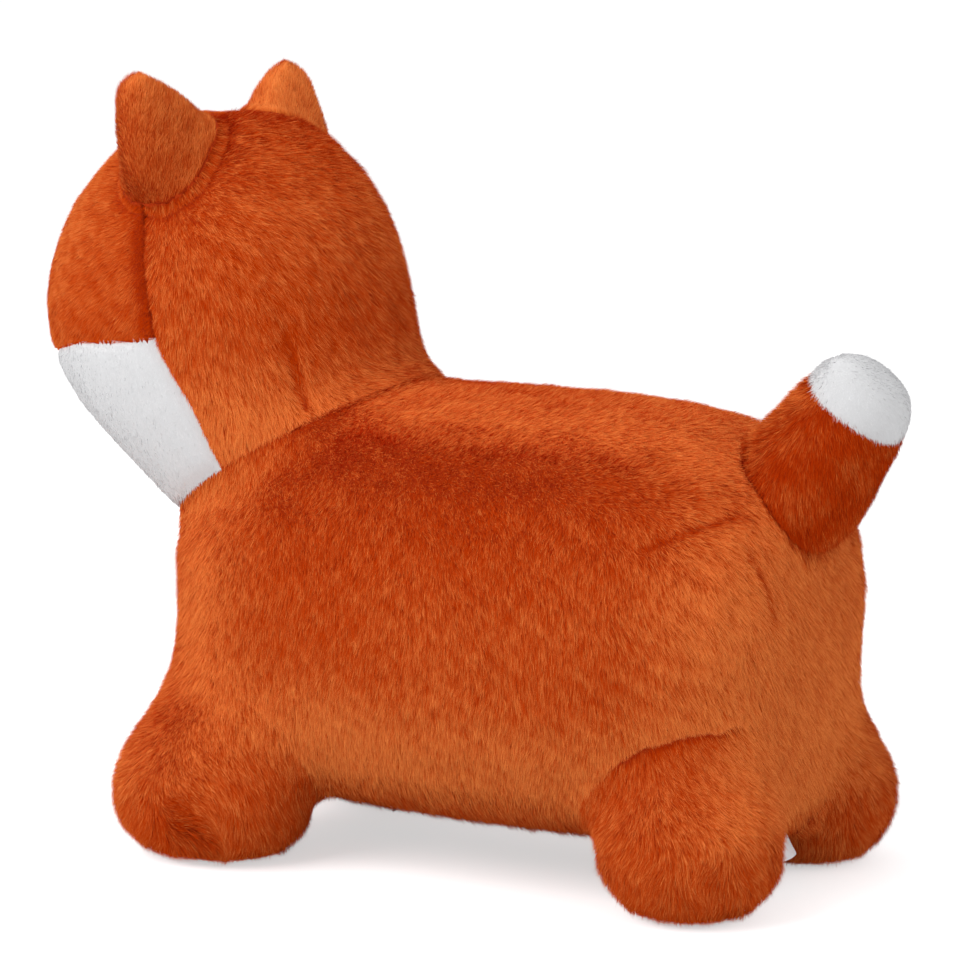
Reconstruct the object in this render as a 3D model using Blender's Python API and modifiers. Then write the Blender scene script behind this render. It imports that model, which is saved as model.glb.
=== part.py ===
"""Bouncy ride-on fox: an air bladder with four legs inside a zipped plush cover.

The fox faces -Y, its left side is +X and it stands on z = 0. The soft forms are rings of
points around a spine, smoothed by Subdivision Surface. A cover is such a form with Solidify,
and the larger form cuts the smaller one where they are sewn together. Lengths are in metres,
and y is counted from the middle of the trunk, which the empty named fox carries.
"""
import math

import bmesh
import bpy
from mathutils import Matrix, Vector

# Driving dimensions
TRUNK_MIDDLE_Y = 0.0345
SEWN_GAP = 0.0003
TRUNK_WALL = 0.0120
LIMB_WALL = 0.0100
TAIL_WALL = 0.0080
BLADDER_INSET = 0.0126
BLADDER_LEG_INSET = 0.0135
BLADDER_WALL = 0.0015
LEG_HOLE_INSET = 0.0110
SOLE_TOP = 0.0120

# Trunk rings: y, underside z, top z, half width
TRUNK_RINGS = [(-0.207, 0.115, 0.195, 0.042),
               (-0.194, 0.048, 0.250, 0.094),
               (-0.148, 0.024, 0.280, 0.121),
               (-0.060, 0.020, 0.286, 0.130),
               (0.050, 0.020, 0.287, 0.131),
               (0.135, 0.023, 0.284, 0.126),
               (0.192, 0.050, 0.256, 0.102),
               (0.209, 0.105, 0.208, 0.050)]
TRUNK_SIDES = 14
TRUNK_SQUARENESS = 2.5

# Head rings, neck to crown: z, front y, back y, half width
HEAD_RINGS = [(0.150, -0.190, -0.080, 0.050),
              (0.190, -0.210, -0.067, 0.080),
              (0.232, -0.252, -0.061, 0.102),
              (0.270, -0.297, -0.075, 0.113),
              (0.310, -0.315, -0.090, 0.117),
              (0.350, -0.312, -0.096, 0.114),
              (0.392, -0.295, -0.111, 0.100),
              (0.430, -0.262, -0.143, 0.069),
              (0.446, -0.232, -0.172, 0.030)]
HEAD_SIDES = 12
HEAD_SQUARENESS = 2.15

# Leg rings, sole to shoulder: z, outward shift, y shift, half width, half length
FRONT_LEG_RINGS = [(-0.001, 0.000, -0.002, 0.030, 0.036),
                   (0.009, 0.000, -0.002, 0.047, 0.056),
                   (0.032, 0.000, -0.002, 0.060, 0.070),
                   (0.070, -0.006, 0.004, 0.060, 0.068),
                   (0.115, -0.022, 0.018, 0.052, 0.060),
                   (0.160, -0.042, 0.036, 0.042, 0.044)]
HIND_LEG_RINGS = [(-0.001, 0.000, 0.000, 0.028, 0.028),
                  (0.009, 0.000, 0.000, 0.044, 0.045),
                  (0.034, 0.000, 0.000, 0.058, 0.060),
                  (0.070, -0.005, -0.001, 0.055, 0.058),
                  (0.102, -0.015, -0.008, 0.046, 0.050),
                  (0.132, -0.026, -0.016, 0.036, 0.038)]
PAWS = {"front_left": (0.092, -0.157, FRONT_LEG_RINGS),
        "front_right": (-0.092, -0.157, FRONT_LEG_RINGS),
        "hind_left": (0.077, 0.160, HIND_LEG_RINGS),
        "hind_right": (-0.077, 0.160, HIND_LEG_RINGS)}
LEG_SIDES = 9
BLADDER_LEG_SIDES = 6

# Tail: root on the rump, its rise, and rings of distance along it and radius
TAIL_START = Vector((0.0, 0.174, 0.222))
TAIL_RISE = math.radians(54.0)
TAIL_RINGS = [(0.000, 0.042), (0.030, 0.043), (0.056, 0.039),
              (0.082, 0.0355), (0.104, 0.033), (0.117, 0.019)]
TAIL_SIDES = 9
TAIL_WHITE_FROM = 0.091
TAIL_PIVOT_AT = 0.030
TAIL_STUFFING_CLEARANCE = 0.0120

# Ear: base ends, tip, and rings of share of the height, share of the width, half thickness
EAR_INNER = Vector((0.008, -0.196, 0.424))
EAR_OUTER = Vector((0.100, -0.198, 0.384))
EAR_TIP = Vector((0.090, -0.214, 0.472))
EAR_RINGS = [(0.00, 1.06, 0.033), (0.35, 0.84, 0.0245), (0.65, 0.57, 0.019),
             (0.88, 0.33, 0.014), (1.00, 0.14, 0.007)]
EAR_SIDES = 8
LINING_BACK_Y = -0.2135
LINING_SHARE = 0.58
POCKET_SHARE = 0.59

# Head seams in side view: all three run from the cheek corner, up, forward and down
CHEEK_CORNER = (-0.186, 0.317)
FACE_SEAM = [(-0.203, 0.500), (-0.203, 0.386), CHEEK_CORNER]
CHEEK_SEAM = [CHEEK_CORNER, (-0.246, 0.310), (-0.292, 0.297), (-0.400, 0.275)]
THROAT_SEAM = [CHEEK_CORNER, (-0.161, 0.276), (-0.149, 0.245), (-0.105, 0.140)]

# Face
MUZZLE_CENTRE = Vector((0.0, -0.298, 0.292))
MUZZLE_RADII = Vector((0.036, 0.024, 0.029))
NOSE_CENTRE = Vector((0.0, -0.321, 0.305))
NOSE_RADII = Vector((0.0115, 0.0070, 0.0085))
EYE_CENTRE = Vector((0.0420, -0.2980, 0.347))
EYE_RADII = Vector((0.0085, 0.0075, 0.0095))

# Belly zip, seen from below
ZIP_FRONT_Y = -0.100
ZIP_REAR_Y = 0.130
ZIP_SLOT_HALF = 0.0180
TAPE_BOTTOM = 0.0280
TAPE_THICK = 0.0012
TAPE_INNER_X = 0.0036
TEETH_THICK = 0.0024
TOOTH_PITCH = 0.006
SPINE_X = (0.0020, 0.0033)
TOOTH_REACH = 0.0014
TOOTH_NECK = 0.0013
TOOTH_HEAD = 0.0019

# Zip slider and its pull
SLIDER_Y = -0.086
SLIDER_LENGTH = 0.013
WING_THICK = 0.0018
WING_FRONT_HALF = 0.0046
WING_REAR_HALF = 0.0058
FLANGE_X = (0.0037, 0.0045)
FLANGE_INSET = 0.0010
LUG_X = (0.0022, 0.0032)
LUG_HALF = 0.0013
PIN_RADIUS = 0.0006
PIN_LENGTH = 0.0060
PULL_PIVOT_Z = 0.0226
PULL_LENGTH = 0.0078
PULL_HALF_WIDTH = 0.0019
PULL_HALF_THICK = 0.0005
KNUCKLE_RADIUS = 0.0014
PULL_EYE_RADIUS = 0.0009
MERGE_DEPTH = 0.0004

# Bladder valve: profiles of radius and z
VALVE_Y = 0.030
VALVE_HOLE_RADIUS = 0.0093
SEAT_PROFILE = [(0.0090, 0.0520), (0.0090, 0.0313), (0.0160, 0.0313), (0.0160, 0.0302),
                (0.0067, 0.0302), (0.0067, 0.0440), (0.0042, 0.0440), (0.0042, 0.0520)]
PLUG_PROFILE = [(0.0, 0.0515), (0.0030, 0.0512), (0.0039, 0.0498), (0.0036, 0.0437),
                (0.0060, 0.0437), (0.0062, 0.0428), (0.0060, 0.0411), (0.0054, 0.0405),
                (0.0, 0.0405)]

# Care label, hung from the belly under the rump
LABEL_Y = 0.186
LABEL_WIDTH = 0.022
LABEL_LENGTH = 0.029
LABEL_TOP_Z = 0.0475
LABEL_THICK = 0.0005
LABEL_BOW = 0.0040


def clear_scene():
    for old in list(bpy.data.objects):
        bpy.data.objects.remove(old, do_unlink=True)


def new_collection(name):
    group = bpy.data.collections.new(name)
    bpy.context.scene.collection.children.link(group)
    return group


def new_material(name, colour, roughness, metallic=0.0):
    material = bpy.data.materials.new(name)
    material.use_nodes = True
    shader = material.node_tree.nodes["Principled BSDF"]
    shader.inputs["Base Color"].default_value = (*colour, 1.0)
    shader.inputs["Roughness"].default_value = roughness
    shader.inputs["Metallic"].default_value = metallic
    return material


def new_object(name, mesh, group, parent, material=None):
    made = bpy.data.objects.new(name, mesh)
    group.objects.link(made)
    made.parent = parent
    if material:
        mesh.materials.append(material)
    if group.name == "cutters":
        made.hide_render = True
        made.display_type = "WIRE"
    return made


def mesh_from(name, bm, smooth=True):
    bmesh.ops.recalc_face_normals(bm, faces=bm.faces)
    mesh = bpy.data.meshes.new(name)
    bm.to_mesh(mesh)
    bm.free()
    if smooth:
        mesh.shade_smooth()
        mesh.set_sharp_from_angle(angle=math.radians(40.0))
    return mesh


def move_origin(made, origin):
    """Put the object's origin at a point, such as a joint, and leave its mesh in place."""
    made.data.transform(Matrix.Translation(-Vector(origin)))
    made.location = origin


def ring_cage(name, rings, sides, squareness=2.0):
    """A coarse closed cage through rings of (centre, first half axis, second half axis)."""
    smoothing_loss = (4.0 + 2.0 * math.cos(2.0 * math.pi / sides)) / 6.0
    bm = bmesh.new()
    loops = []
    for centre, first, second in rings:
        loop = []
        for k in range(sides):
            turn = 2.0 * math.pi * (k + 0.5) / sides
            along = math.copysign(abs(math.cos(turn)) ** (2.0 / squareness), math.cos(turn))
            across = math.copysign(abs(math.sin(turn)) ** (2.0 / squareness), math.sin(turn))
            offset = (Vector(first) * along + Vector(second) * across) / smoothing_loss
            loop.append(bm.verts.new(Vector(centre) + offset))
        loops.append(loop)
    for lower, upper in zip(loops, loops[1:]):
        for k in range(sides):
            after = (k + 1) % sides
            bm.faces.new((lower[k], lower[after], upper[after], upper[k]))
    bm.faces.new(loops[0])
    bm.faces.new(loops[-1])
    return mesh_from(name, bm)


def trunk_cage():
    rings = [((0, y, (low + top) / 2), (half, 0, 0), (0, 0, (top - low) / 2))
             for y, low, top, half in TRUNK_RINGS]
    return ring_cage("trunk_cage", rings, TRUNK_SIDES, TRUNK_SQUARENESS)


def head_cage():
    rings = [((0, (front + back) / 2, z), (half, 0, 0), (0, (back - front) / 2, 0))
             for z, front, back, half in HEAD_RINGS]
    return ring_cage("head_cage", rings, HEAD_SIDES, HEAD_SQUARENESS)


def leg_cage(paw, sides):
    x, y, table = PAWS[paw]
    side = math.copysign(1.0, x)
    rings = [((x + side * out, y + along, z), (width, 0, 0), (0, length, 0))
             for z, out, along, width, length in table]
    return ring_cage("leg_cage", rings, sides)


def tail_way():
    return Vector((0.0, math.cos(TAIL_RISE), math.sin(TAIL_RISE)))


def tail_cage():
    way = tail_way()
    across = Vector((0.0, -way.z, way.y))
    rings = [(TAIL_START + way * along, (radius, 0, 0), across * radius)
             for along, radius in TAIL_RINGS]
    return ring_cage("tail_cage", rings, TAIL_SIDES)


def ear_cage(side):
    middle = (EAR_INNER + EAR_OUTER) / 2
    rings = []
    for height, width, thick in EAR_RINGS:
        centre = middle.lerp(EAR_TIP, height)
        half = (EAR_OUTER - EAR_INNER) / 2 * width
        rings.append(((centre.x * side, centre.y, centre.z),
                      (half.x * side, half.y, half.z), (0, thick, 0)))
    return ring_cage("ear_cage", rings, EAR_SIDES)


def soften(made):
    smooth = made.modifiers.new("soften", "SUBSURF")
    smooth.levels = 1
    smooth.render_levels = 1


def grow(made, distance):
    """Move the surface along its normals, outwards when the distance is positive."""
    step = made.modifiers.new("grow", "DISPLACE")
    step.strength = distance
    step.mid_level = 0.0


def hollow(made, wall):
    shell = made.modifiers.new("hollow", "SOLIDIFY")
    shell.thickness = wall
    shell.offset = -1.0


def facet(made):
    """Split warped quads into flat triangles, so that a cut follows the surface exactly."""
    if not any(step.type == "TRIANGULATE" for step in made.modifiers):
        made.modifiers.new("facet", "TRIANGULATE")


def combine(made, other, operation="DIFFERENCE"):
    facet(made)
    facet(other)
    boolean = made.modifiers.new(operation.lower(), "BOOLEAN")
    boolean.operation = operation
    boolean.object = other
    boolean.solver = "EXACT"


def block(name, low, high, group, parent, material=None):
    bm = bmesh.new()
    bmesh.ops.create_cube(bm, size=1.0)
    low, high = Vector(low), Vector(high)
    for vert in bm.verts:
        vert.co = low + Vector((vert.co[i] + 0.5) * (high[i] - low[i]) for i in range(3))
    return new_object(name, mesh_from(name, bm, smooth=False), group, parent, material)


def prism(name, outline, axis, low, high, group, parent, material=None):
    """A closed outline swept along X, Y or Z from low to high."""
    at = {"X": lambda first, second: (low, first, second),
          "Y": lambda first, second: (first, low, second),
          "Z": lambda first, second: (first, second, low)}[axis]
    bm = bmesh.new()
    face = bm.faces.new([bm.verts.new(at(first, second)) for first, second in outline])
    swept = bmesh.ops.extrude_face_region(bm, geom=[face])["geom"]
    moved = [part for part in swept if isinstance(part, bmesh.types.BMVert)]
    sweep = Vector([high - low if axis == letter else 0.0 for letter in "XYZ"])
    bmesh.ops.translate(bm, verts=moved, vec=sweep)
    return new_object(name, mesh_from(name, bm, smooth=False), group, parent, material)


def ellipsoid(name, centre, radii, group, parent, material=None, segments=16, rings=10):
    bm = bmesh.new()
    bmesh.ops.create_uvsphere(bm, u_segments=segments, v_segments=rings, radius=1.0)
    for vert in bm.verts:
        vert.co = Vector(centre) + Vector(vert.co[i] * radii[i] for i in range(3))
    return new_object(name, mesh_from(name, bm), group, parent, material)


def cylinder(name, centre, radius, depth, turn, group, parent, segments=20):
    bm = bmesh.new()
    bmesh.ops.create_cone(bm, cap_ends=True, segments=segments, radius1=radius,
                          radius2=radius, depth=depth)
    bmesh.ops.transform(bm, matrix=Matrix.Translation(centre) @ turn, verts=bm.verts)
    return new_object(name, mesh_from(name, bm), group, parent)


def turned(name, profile, centre, group, parent, material, steps=20):
    """A profile of (radius, z), down its outer side and back up, turned about Z."""
    mesh = bpy.data.meshes.new(name)
    points = [(radius, 0.0, z) for radius, z in profile]
    edges = [(i, i + 1) for i in range(len(points) - 1)]
    if profile[0][0] > 0.0:
        edges.append((len(points) - 1, 0))
    mesh.from_pydata(points, edges, [])
    made = new_object(name, mesh, group, parent, material)
    made.location = centre
    screw = made.modifiers.new("turn", "SCREW")
    screw.steps = steps
    screw.render_steps = steps
    screw.use_merge_vertices = True
    screw.merge_threshold = 0.00001
    return made


def make_cutters(cutters, fox):
    """Forms that cut others, each a sewing gap larger than the piece that it stands for."""
    tools = {}
    for name, distance in (("trunk", SEWN_GAP), ("trunk_far", TAIL_STUFFING_CLEARANCE)):
        tools[name] = new_object(name + "_cutter", trunk_cage(), cutters, fox)
        soften(tools[name])
        grow(tools[name], distance)
    tools["head"] = new_object("head_cutter", head_cage(), cutters, fox)
    soften(tools["head"])
    grow(tools["head"], SEWN_GAP)
    tools["above_sole"] = block("above_sole_cutter", (-0.3, -0.4, SOLE_TOP + SEWN_GAP),
                                (0.3, 0.4, 0.4), cutters, fox)
    tools["sole"] = block("sole_cutter", (-0.3, -0.4, 0.0), (0.3, 0.4, SOLE_TOP), cutters, fox)
    return tools


def make_trunk_cover(parts, cutters, fox, plush):
    """The body of the cover, with the belly slot for the zip and holes for the bladder's legs."""
    cover = new_object("trunk_cover", trunk_cage(), parts, fox, plush)
    soften(cover)
    hollow(cover, TRUNK_WALL)
    slot = block("zip_slot_cutter", (-ZIP_SLOT_HALF, ZIP_FRONT_Y, 0.0),
                 (ZIP_SLOT_HALF, ZIP_REAR_Y, 0.060), cutters, fox)
    combine(cover, slot)
    bm = bmesh.new()
    for paw in PAWS:
        bm.from_mesh(leg_cage(paw, BLADDER_LEG_SIDES))
    holes = new_object("leg_holes_cutter", mesh_from("leg_holes_cutter", bm), cutters, fox)
    soften(holes)
    grow(holes, -LEG_HOLE_INSET)
    combine(cover, holes)


def make_bladder(parts, cutters, fox, vinyl):
    """One hollow vinyl skin, trunk and legs together, open only at the valve."""
    def air_form(name, group, extra, material=None):
        form = new_object(name, trunk_cage(), group, fox, material)
        soften(form)
        grow(form, -BLADDER_INSET - extra)
        for paw in PAWS:
            leg_name = name + "_" + paw + "_cutter"
            leg = new_object(leg_name, leg_cage(paw, BLADDER_LEG_SIDES), cutters, fox)
            soften(leg)
            grow(leg, -BLADDER_LEG_INSET - extra)
            combine(form, leg, "UNION")
        return form

    air = air_form("air_space", cutters, BLADDER_WALL)
    bladder = air_form("air_bladder", parts, 0.0, vinyl)
    combine(bladder, air)
    valve_hole = cylinder("valve_hole_cutter", (0, VALVE_Y, 0.040), VALVE_HOLE_RADIUS, 0.030,
                          Matrix.Identity(4), cutters, fox)
    combine(bladder, valve_hole)


def make_legs(parts, fox, tools, plush):
    for paw, (x, y, _table) in PAWS.items():
        cover = new_object("leg_cover_" + paw, leg_cage(paw, LEG_SIDES), parts, fox, plush)
        soften(cover)
        hollow(cover, LIMB_WALL)
        combine(cover, tools["trunk"])
        combine(cover, tools["above_sole"], "INTERSECT")
        sole = new_object("paw_sole_" + paw, leg_cage(paw, LEG_SIDES), parts, fox, plush)
        soften(sole)
        combine(sole, tools["sole"], "INTERSECT")
        move_origin(cover, (x, y, SOLE_TOP))
        move_origin(sole, (x, y, 0.0))


def make_head(parts, cutters, fox, tools, plush, white, filling):
    """Three plush panels over one stuffing: back of the head, brow, and white cheeks and bib."""
    half = SEWN_GAP / 2
    throat_low = THROAT_SEAM[-1][1]
    front = [(-0.400, throat_low), (-0.400, 0.500)] + FACE_SEAM + THROAT_SEAM[1:]
    brow = [(-0.400, 0.500)]
    brow += [(y - SEWN_GAP, z + half) for y, z in FACE_SEAM]
    brow += [(y, z + half) for y, z in CHEEK_SEAM[1:]]
    bib = [(y, z - half) for y, z in reversed(CHEEK_SEAM[1:])]
    bib += [(y - SEWN_GAP, z - half) for y, z in THROAT_SEAM]
    bib += [(-0.400, throat_low - half)]
    panels = (("head_cover_back", front, "DIFFERENCE", plush),
              ("head_cover_brow", brow, "INTERSECT", plush),
              ("head_cover_bib", bib, "INTERSECT", white))
    for name, outline, operation, material in panels:
        panel = new_object(name, head_cage(), parts, fox, material)
        soften(panel)
        hollow(panel, LIMB_WALL)
        combine(panel, tools["trunk"])
        region = prism(name + "_cutter", outline, "X", -0.3, 0.3, cutters, fox)
        combine(panel, region, operation)
    stuffing = new_object("head_stuffing", head_cage(), parts, fox, filling)
    soften(stuffing)
    grow(stuffing, -LIMB_WALL - SEWN_GAP)
    combine(stuffing, tools["trunk"])


def make_ears(parts, cutters, fox, tools, plush, white):
    """Stuffed orange ears, sewn on the crown, each with a pale lining let into its front."""
    for name, side in (("left", 1.0), ("right", -1.0)):
        middle = (EAR_INNER + EAR_OUTER) / 2
        corners = [EAR_INNER, EAR_OUTER, EAR_TIP]
        centre = (middle * 2 + EAR_TIP) / 3

        def patch(share):
            points = [centre + (corner - centre) * share for corner in corners]
            return [(point.x * side, point.z) for point in points]

        pocket = prism("ear_pocket_" + name + "_cutter", patch(POCKET_SHARE), "Y", -0.300,
                       LINING_BACK_Y + SEWN_GAP, cutters, fox)
        region = prism("ear_lining_" + name + "_cutter", patch(LINING_SHARE), "Y", -0.300,
                       LINING_BACK_Y, cutters, fox)
        ear = new_object("ear_" + name, ear_cage(side), parts, fox, plush)
        lining = new_object("ear_lining_" + name, ear_cage(side), parts, fox, white)
        for made, tool, operation in ((ear, pocket, "DIFFERENCE"), (lining, region, "INTERSECT")):
            soften(made)
            combine(made, tools["head"])
            combine(made, tool, operation)
            move_origin(made, (middle.x * side, middle.y, middle.z))


def make_face(parts, cutters, fox, tools, white, black):
    muzzle = ellipsoid("muzzle", MUZZLE_CENTRE, MUZZLE_RADII, parts, fox, white, 20, 12)
    combine(muzzle, tools["head"])
    grown = MUZZLE_RADII + Vector((SEWN_GAP, SEWN_GAP, SEWN_GAP))
    around = ellipsoid("muzzle_cutter", MUZZLE_CENTRE, grown, cutters, fox, None, 20, 12)
    nose = ellipsoid("nose", NOSE_CENTRE, NOSE_RADII, parts, fox, black, 14, 8)
    combine(nose, around)
    combine(nose, tools["head"])
    for name, side in (("left", 1.0), ("right", -1.0)):
        centre = (EYE_CENTRE.x * side, EYE_CENTRE.y, EYE_CENTRE.z)
        eye = ellipsoid("eye_" + name, centre, EYE_RADII, parts, fox, black, 14, 8)
        combine(eye, tools["head"])


def make_tail(parts, cutters, fox, tools, plush, white, filling):
    """A stuffed tail with a white tip, sewn on the rump where it can sway."""
    way = tail_way()
    pivot = TAIL_START + way * TAIL_PIVOT_AT
    root = bpy.data.objects.new("tail_root", None)
    parts.objects.link(root)
    root.parent = fox
    root.location = pivot
    border = TAIL_START + way * TAIL_WHITE_FROM
    lean = Matrix.Rotation(TAIL_RISE - math.pi / 2, 4, "X")
    tip_block = block("tail_tip_cutter", (-0.1, -0.1, SEWN_GAP / 2), (0.1, 0.1, 0.1),
                      cutters, fox)
    root_block = block("tail_cover_cutter", (-0.1, -0.1, -0.1), (0.1, 0.1, -SEWN_GAP / 2),
                       cutters, fox)
    for tool in (tip_block, root_block):
        tool.data.transform(Matrix.Translation(border) @ lean)
    cover = new_object("tail_cover", tail_cage(), parts, root, plush)
    tip = new_object("tail_tip", tail_cage(), parts, root, white)
    for made, tool in ((cover, root_block), (tip, tip_block)):
        soften(made)
        hollow(made, TAIL_WALL)
        combine(made, tool, "INTERSECT")
    combine(cover, tools["trunk"])
    stuffing = new_object("tail_stuffing", tail_cage(), parts, root, filling)
    soften(stuffing)
    grow(stuffing, -TAIL_WALL - SEWN_GAP)
    combine(stuffing, tools["trunk_far"])
    for made in (cover, tip, stuffing):
        made.data.transform(Matrix.Translation(-pivot))


def make_zip(parts, cutters, fox, tape_cloth, tooth_plastic, metal):
    """Two tapes with moulded teeth in the belly slot, stops, and a slider with a short pull."""
    tape_top = TAPE_BOTTOM + TAPE_THICK
    front = ZIP_FRONT_Y + SEWN_GAP
    rear = ZIP_REAR_Y - SEWN_GAP
    teeth_from = ZIP_FRONT_Y + 0.008
    count = round((ZIP_REAR_Y - ZIP_FRONT_Y - 0.018) / TOOTH_PITCH)
    teeth_z = (TAPE_BOTTOM + tape_top) / 2
    for name, side, shift in (("left", 1.0, 0.0), ("right", -1.0, 0.5)):
        edges = sorted((side * TAPE_INNER_X, side * (ZIP_SLOT_HALF - SEWN_GAP)))
        tape = block("zip_tape_" + name, (edges[0], front, TAPE_BOTTOM),
                     (edges[1], rear, tape_top), parts, fox, tape_cloth)
        corner = tape.modifiers.new("corner", "BEVEL")
        corner.width = 0.0003
        corner.segments = 1
        outline = [(side * SPINE_X[1], teeth_from), (side * SPINE_X[0], teeth_from)]
        for k in range(count):
            y = teeth_from + (k + 0.5 + shift) * TOOTH_PITCH
            outline += [(side * SPINE_X[0], y - TOOTH_NECK / 2),
                        (-side * TOOTH_REACH, y - TOOTH_HEAD / 2),
                        (-side * TOOTH_REACH, y + TOOTH_HEAD / 2),
                        (side * SPINE_X[0], y + TOOTH_NECK / 2)]
        end = teeth_from + (count + 1.0) * TOOTH_PITCH
        outline += [(side * SPINE_X[0], end), (side * SPINE_X[1], end)]
        prism("zip_teeth_" + name, outline, "Z", teeth_z - TEETH_THICK / 2,
              teeth_z + TEETH_THICK / 2, parts, fox, tooth_plastic)
    for name, low, high in (("front", front + 0.002, teeth_from - SEWN_GAP),
                            ("rear", end + SEWN_GAP, rear - 0.001)):
        stop = block("zip_stop_" + name, (-SPINE_X[1], low, teeth_z - TEETH_THICK / 2),
                     (SPINE_X[1], high, teeth_z + TEETH_THICK / 2), parts, fox, metal)
        corner = stop.modifiers.new("corner", "BEVEL")
        corner.width = 0.0005
        corner.segments = 2
    make_slider(parts, cutters, fox, teeth_z - TEETH_THICK / 2, metal)


def make_slider(parts, cutters, fox, teeth_bottom, metal):
    """The slider's outer wing, wider where the teeth part, with two lugs and a pin."""
    wing_top = teeth_bottom - SEWN_GAP
    wing_bottom = wing_top - WING_THICK
    front = SLIDER_Y - SLIDER_LENGTH / 2
    rear = SLIDER_Y + SLIDER_LENGTH / 2
    outline = [(-WING_REAR_HALF, rear), (-WING_FRONT_HALF, front),
               (WING_FRONT_HALF, front), (WING_REAR_HALF, rear)]
    slider = prism("zip_slider", outline, "Z", wing_bottom, wing_top, parts, fox, metal)
    round_wing = slider.modifiers.new("round", "BEVEL")
    round_wing.width = 0.0005
    round_wing.segments = 2
    for name, side in (("left", 1.0), ("right", -1.0)):
        inner, outer = sorted(side * x for x in FLANGE_X)
        flange = block("slider_flange_" + name + "_cutter",
                       (inner, front + FLANGE_INSET, wing_top - MERGE_DEPTH),
                       (outer, rear - FLANGE_INSET, TAPE_BOTTOM - SEWN_GAP), cutters, fox)
        combine(slider, flange, "UNION")
        inner, outer = sorted(side * x for x in LUG_X)
        lug = block("slider_lug_" + name + "_cutter",
                    (inner, SLIDER_Y - LUG_HALF, PULL_PIVOT_Z - LUG_HALF),
                    (outer, SLIDER_Y + LUG_HALF, wing_bottom + MERGE_DEPTH), cutters, fox)
        combine(slider, lug, "UNION")
    pivot = Vector((0, SLIDER_Y, PULL_PIVOT_Z))
    crosswise = Matrix.Rotation(math.pi / 2, 4, "Y")
    pin = cylinder("slider_pin_cutter", pivot, PIN_RADIUS, PIN_LENGTH, crosswise,
                   cutters, fox, 10)
    combine(slider, pin, "UNION")
    move_origin(slider, (0, SLIDER_Y, teeth_bottom))
    pull = block("zip_pull", (-PULL_HALF_WIDTH, -PULL_HALF_THICK, -PULL_LENGTH),
                 (PULL_HALF_WIDTH, PULL_HALF_THICK, -KNUCKLE_RADIUS + MERGE_DEPTH),
                 parts, fox, metal)
    pull.location = pivot
    knuckle = cylinder("pull_knuckle_cutter", pivot, KNUCKLE_RADIUS, PULL_HALF_WIDTH * 2,
                       crosswise, cutters, fox, 16)
    eye = cylinder("pull_eye_cutter", pivot, PULL_EYE_RADIUS, PIN_LENGTH, crosswise,
                   cutters, fox, 12)
    combine(pull, knuckle, "UNION")
    combine(pull, eye)


def make_valve(parts, fox, soft_plastic, hard_plastic):
    """The valve: a flanged tube with a narrow seat, and the stopper that plugs it."""
    centre = (0, VALVE_Y, 0)
    turned("valve_seat", SEAT_PROFILE, centre, parts, fox, soft_plastic)
    turned("valve_plug", PLUG_PROFILE, centre, parts, fox, hard_plastic)


def make_label(parts, fox, satin):
    """A small blank loop of satin ribbon, sewn into the belly seam and hanging behind it."""
    steps = 6
    bm = bmesh.new()
    rows = []
    for k in range(steps + 1):
        along = k / steps
        z = LABEL_TOP_Z - LABEL_LENGTH * along
        y = LABEL_Y + LABEL_BOW * math.sin(along * math.pi / 2)
        rows.append([bm.verts.new((side * LABEL_WIDTH / 2, y, z)) for side in (-1.0, 1.0)])
    for upper, lower in zip(rows, rows[1:]):
        bm.faces.new((upper[0], upper[1], lower[1], lower[0]))
    label = new_object("care_label", mesh_from("care_label", bm), parts, fox, satin)
    ribbon = label.modifiers.new("ribbon", "SOLIDIFY")
    ribbon.thickness = LABEL_THICK
    ribbon.offset = 0.0


def build():
    clear_scene()
    parts = new_collection("bouncy_fox")
    cutters = new_collection("cutters")
    fox = bpy.data.objects.new("fox", None)
    fox.location = (0, TRUNK_MIDDLE_Y, 0)
    parts.objects.link(fox)

    orange_plush = new_material("orange_plush", (0.62, 0.13, 0.025), 0.95)
    white_plush = new_material("white_plush", (0.80, 0.80, 0.82), 0.95)
    filling = new_material("polyester_filling", (0.90, 0.90, 0.88), 1.0)
    vinyl = new_material("bladder_vinyl", (0.75, 0.74, 0.70), 0.35)
    zip_cloth = new_material("zip_tape_cloth", (0.55, 0.13, 0.03), 0.90)
    zip_plastic = new_material("zip_plastic", (0.60, 0.15, 0.03), 0.40)
    zip_metal = new_material("zip_metal", (0.55, 0.55, 0.56), 0.35, 1.0)
    valve_soft = new_material("valve_vinyl", (0.85, 0.85, 0.83), 0.40)
    valve_hard = new_material("stopper_plastic", (0.90, 0.90, 0.90), 0.35)
    black_gloss = new_material("black_gloss", (0.01, 0.01, 0.01), 0.12)
    satin = new_material("label_satin", (0.90, 0.90, 0.92), 0.45)

    tools = make_cutters(cutters, fox)
    make_trunk_cover(parts, cutters, fox, orange_plush)
    make_bladder(parts, cutters, fox, vinyl)
    make_legs(parts, fox, tools, orange_plush)
    make_head(parts, cutters, fox, tools, orange_plush, white_plush, filling)
    make_ears(parts, cutters, fox, tools, orange_plush, white_plush)
    make_face(parts, cutters, fox, tools, white_plush, black_gloss)
    make_tail(parts, cutters, fox, tools, orange_plush, white_plush, filling)
    make_zip(parts, cutters, fox, zip_cloth, zip_plastic, zip_metal)
    make_valve(parts, fox, valve_soft, valve_hard)
    make_label(parts, fox, satin)


build()
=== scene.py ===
"""Bouncy ride-on fox in a zipped plush cover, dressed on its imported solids."""
import math

import bmesh
import bpy
import numpy as np
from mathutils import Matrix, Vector
from mathutils.bvhtree import BVHTree


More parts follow.
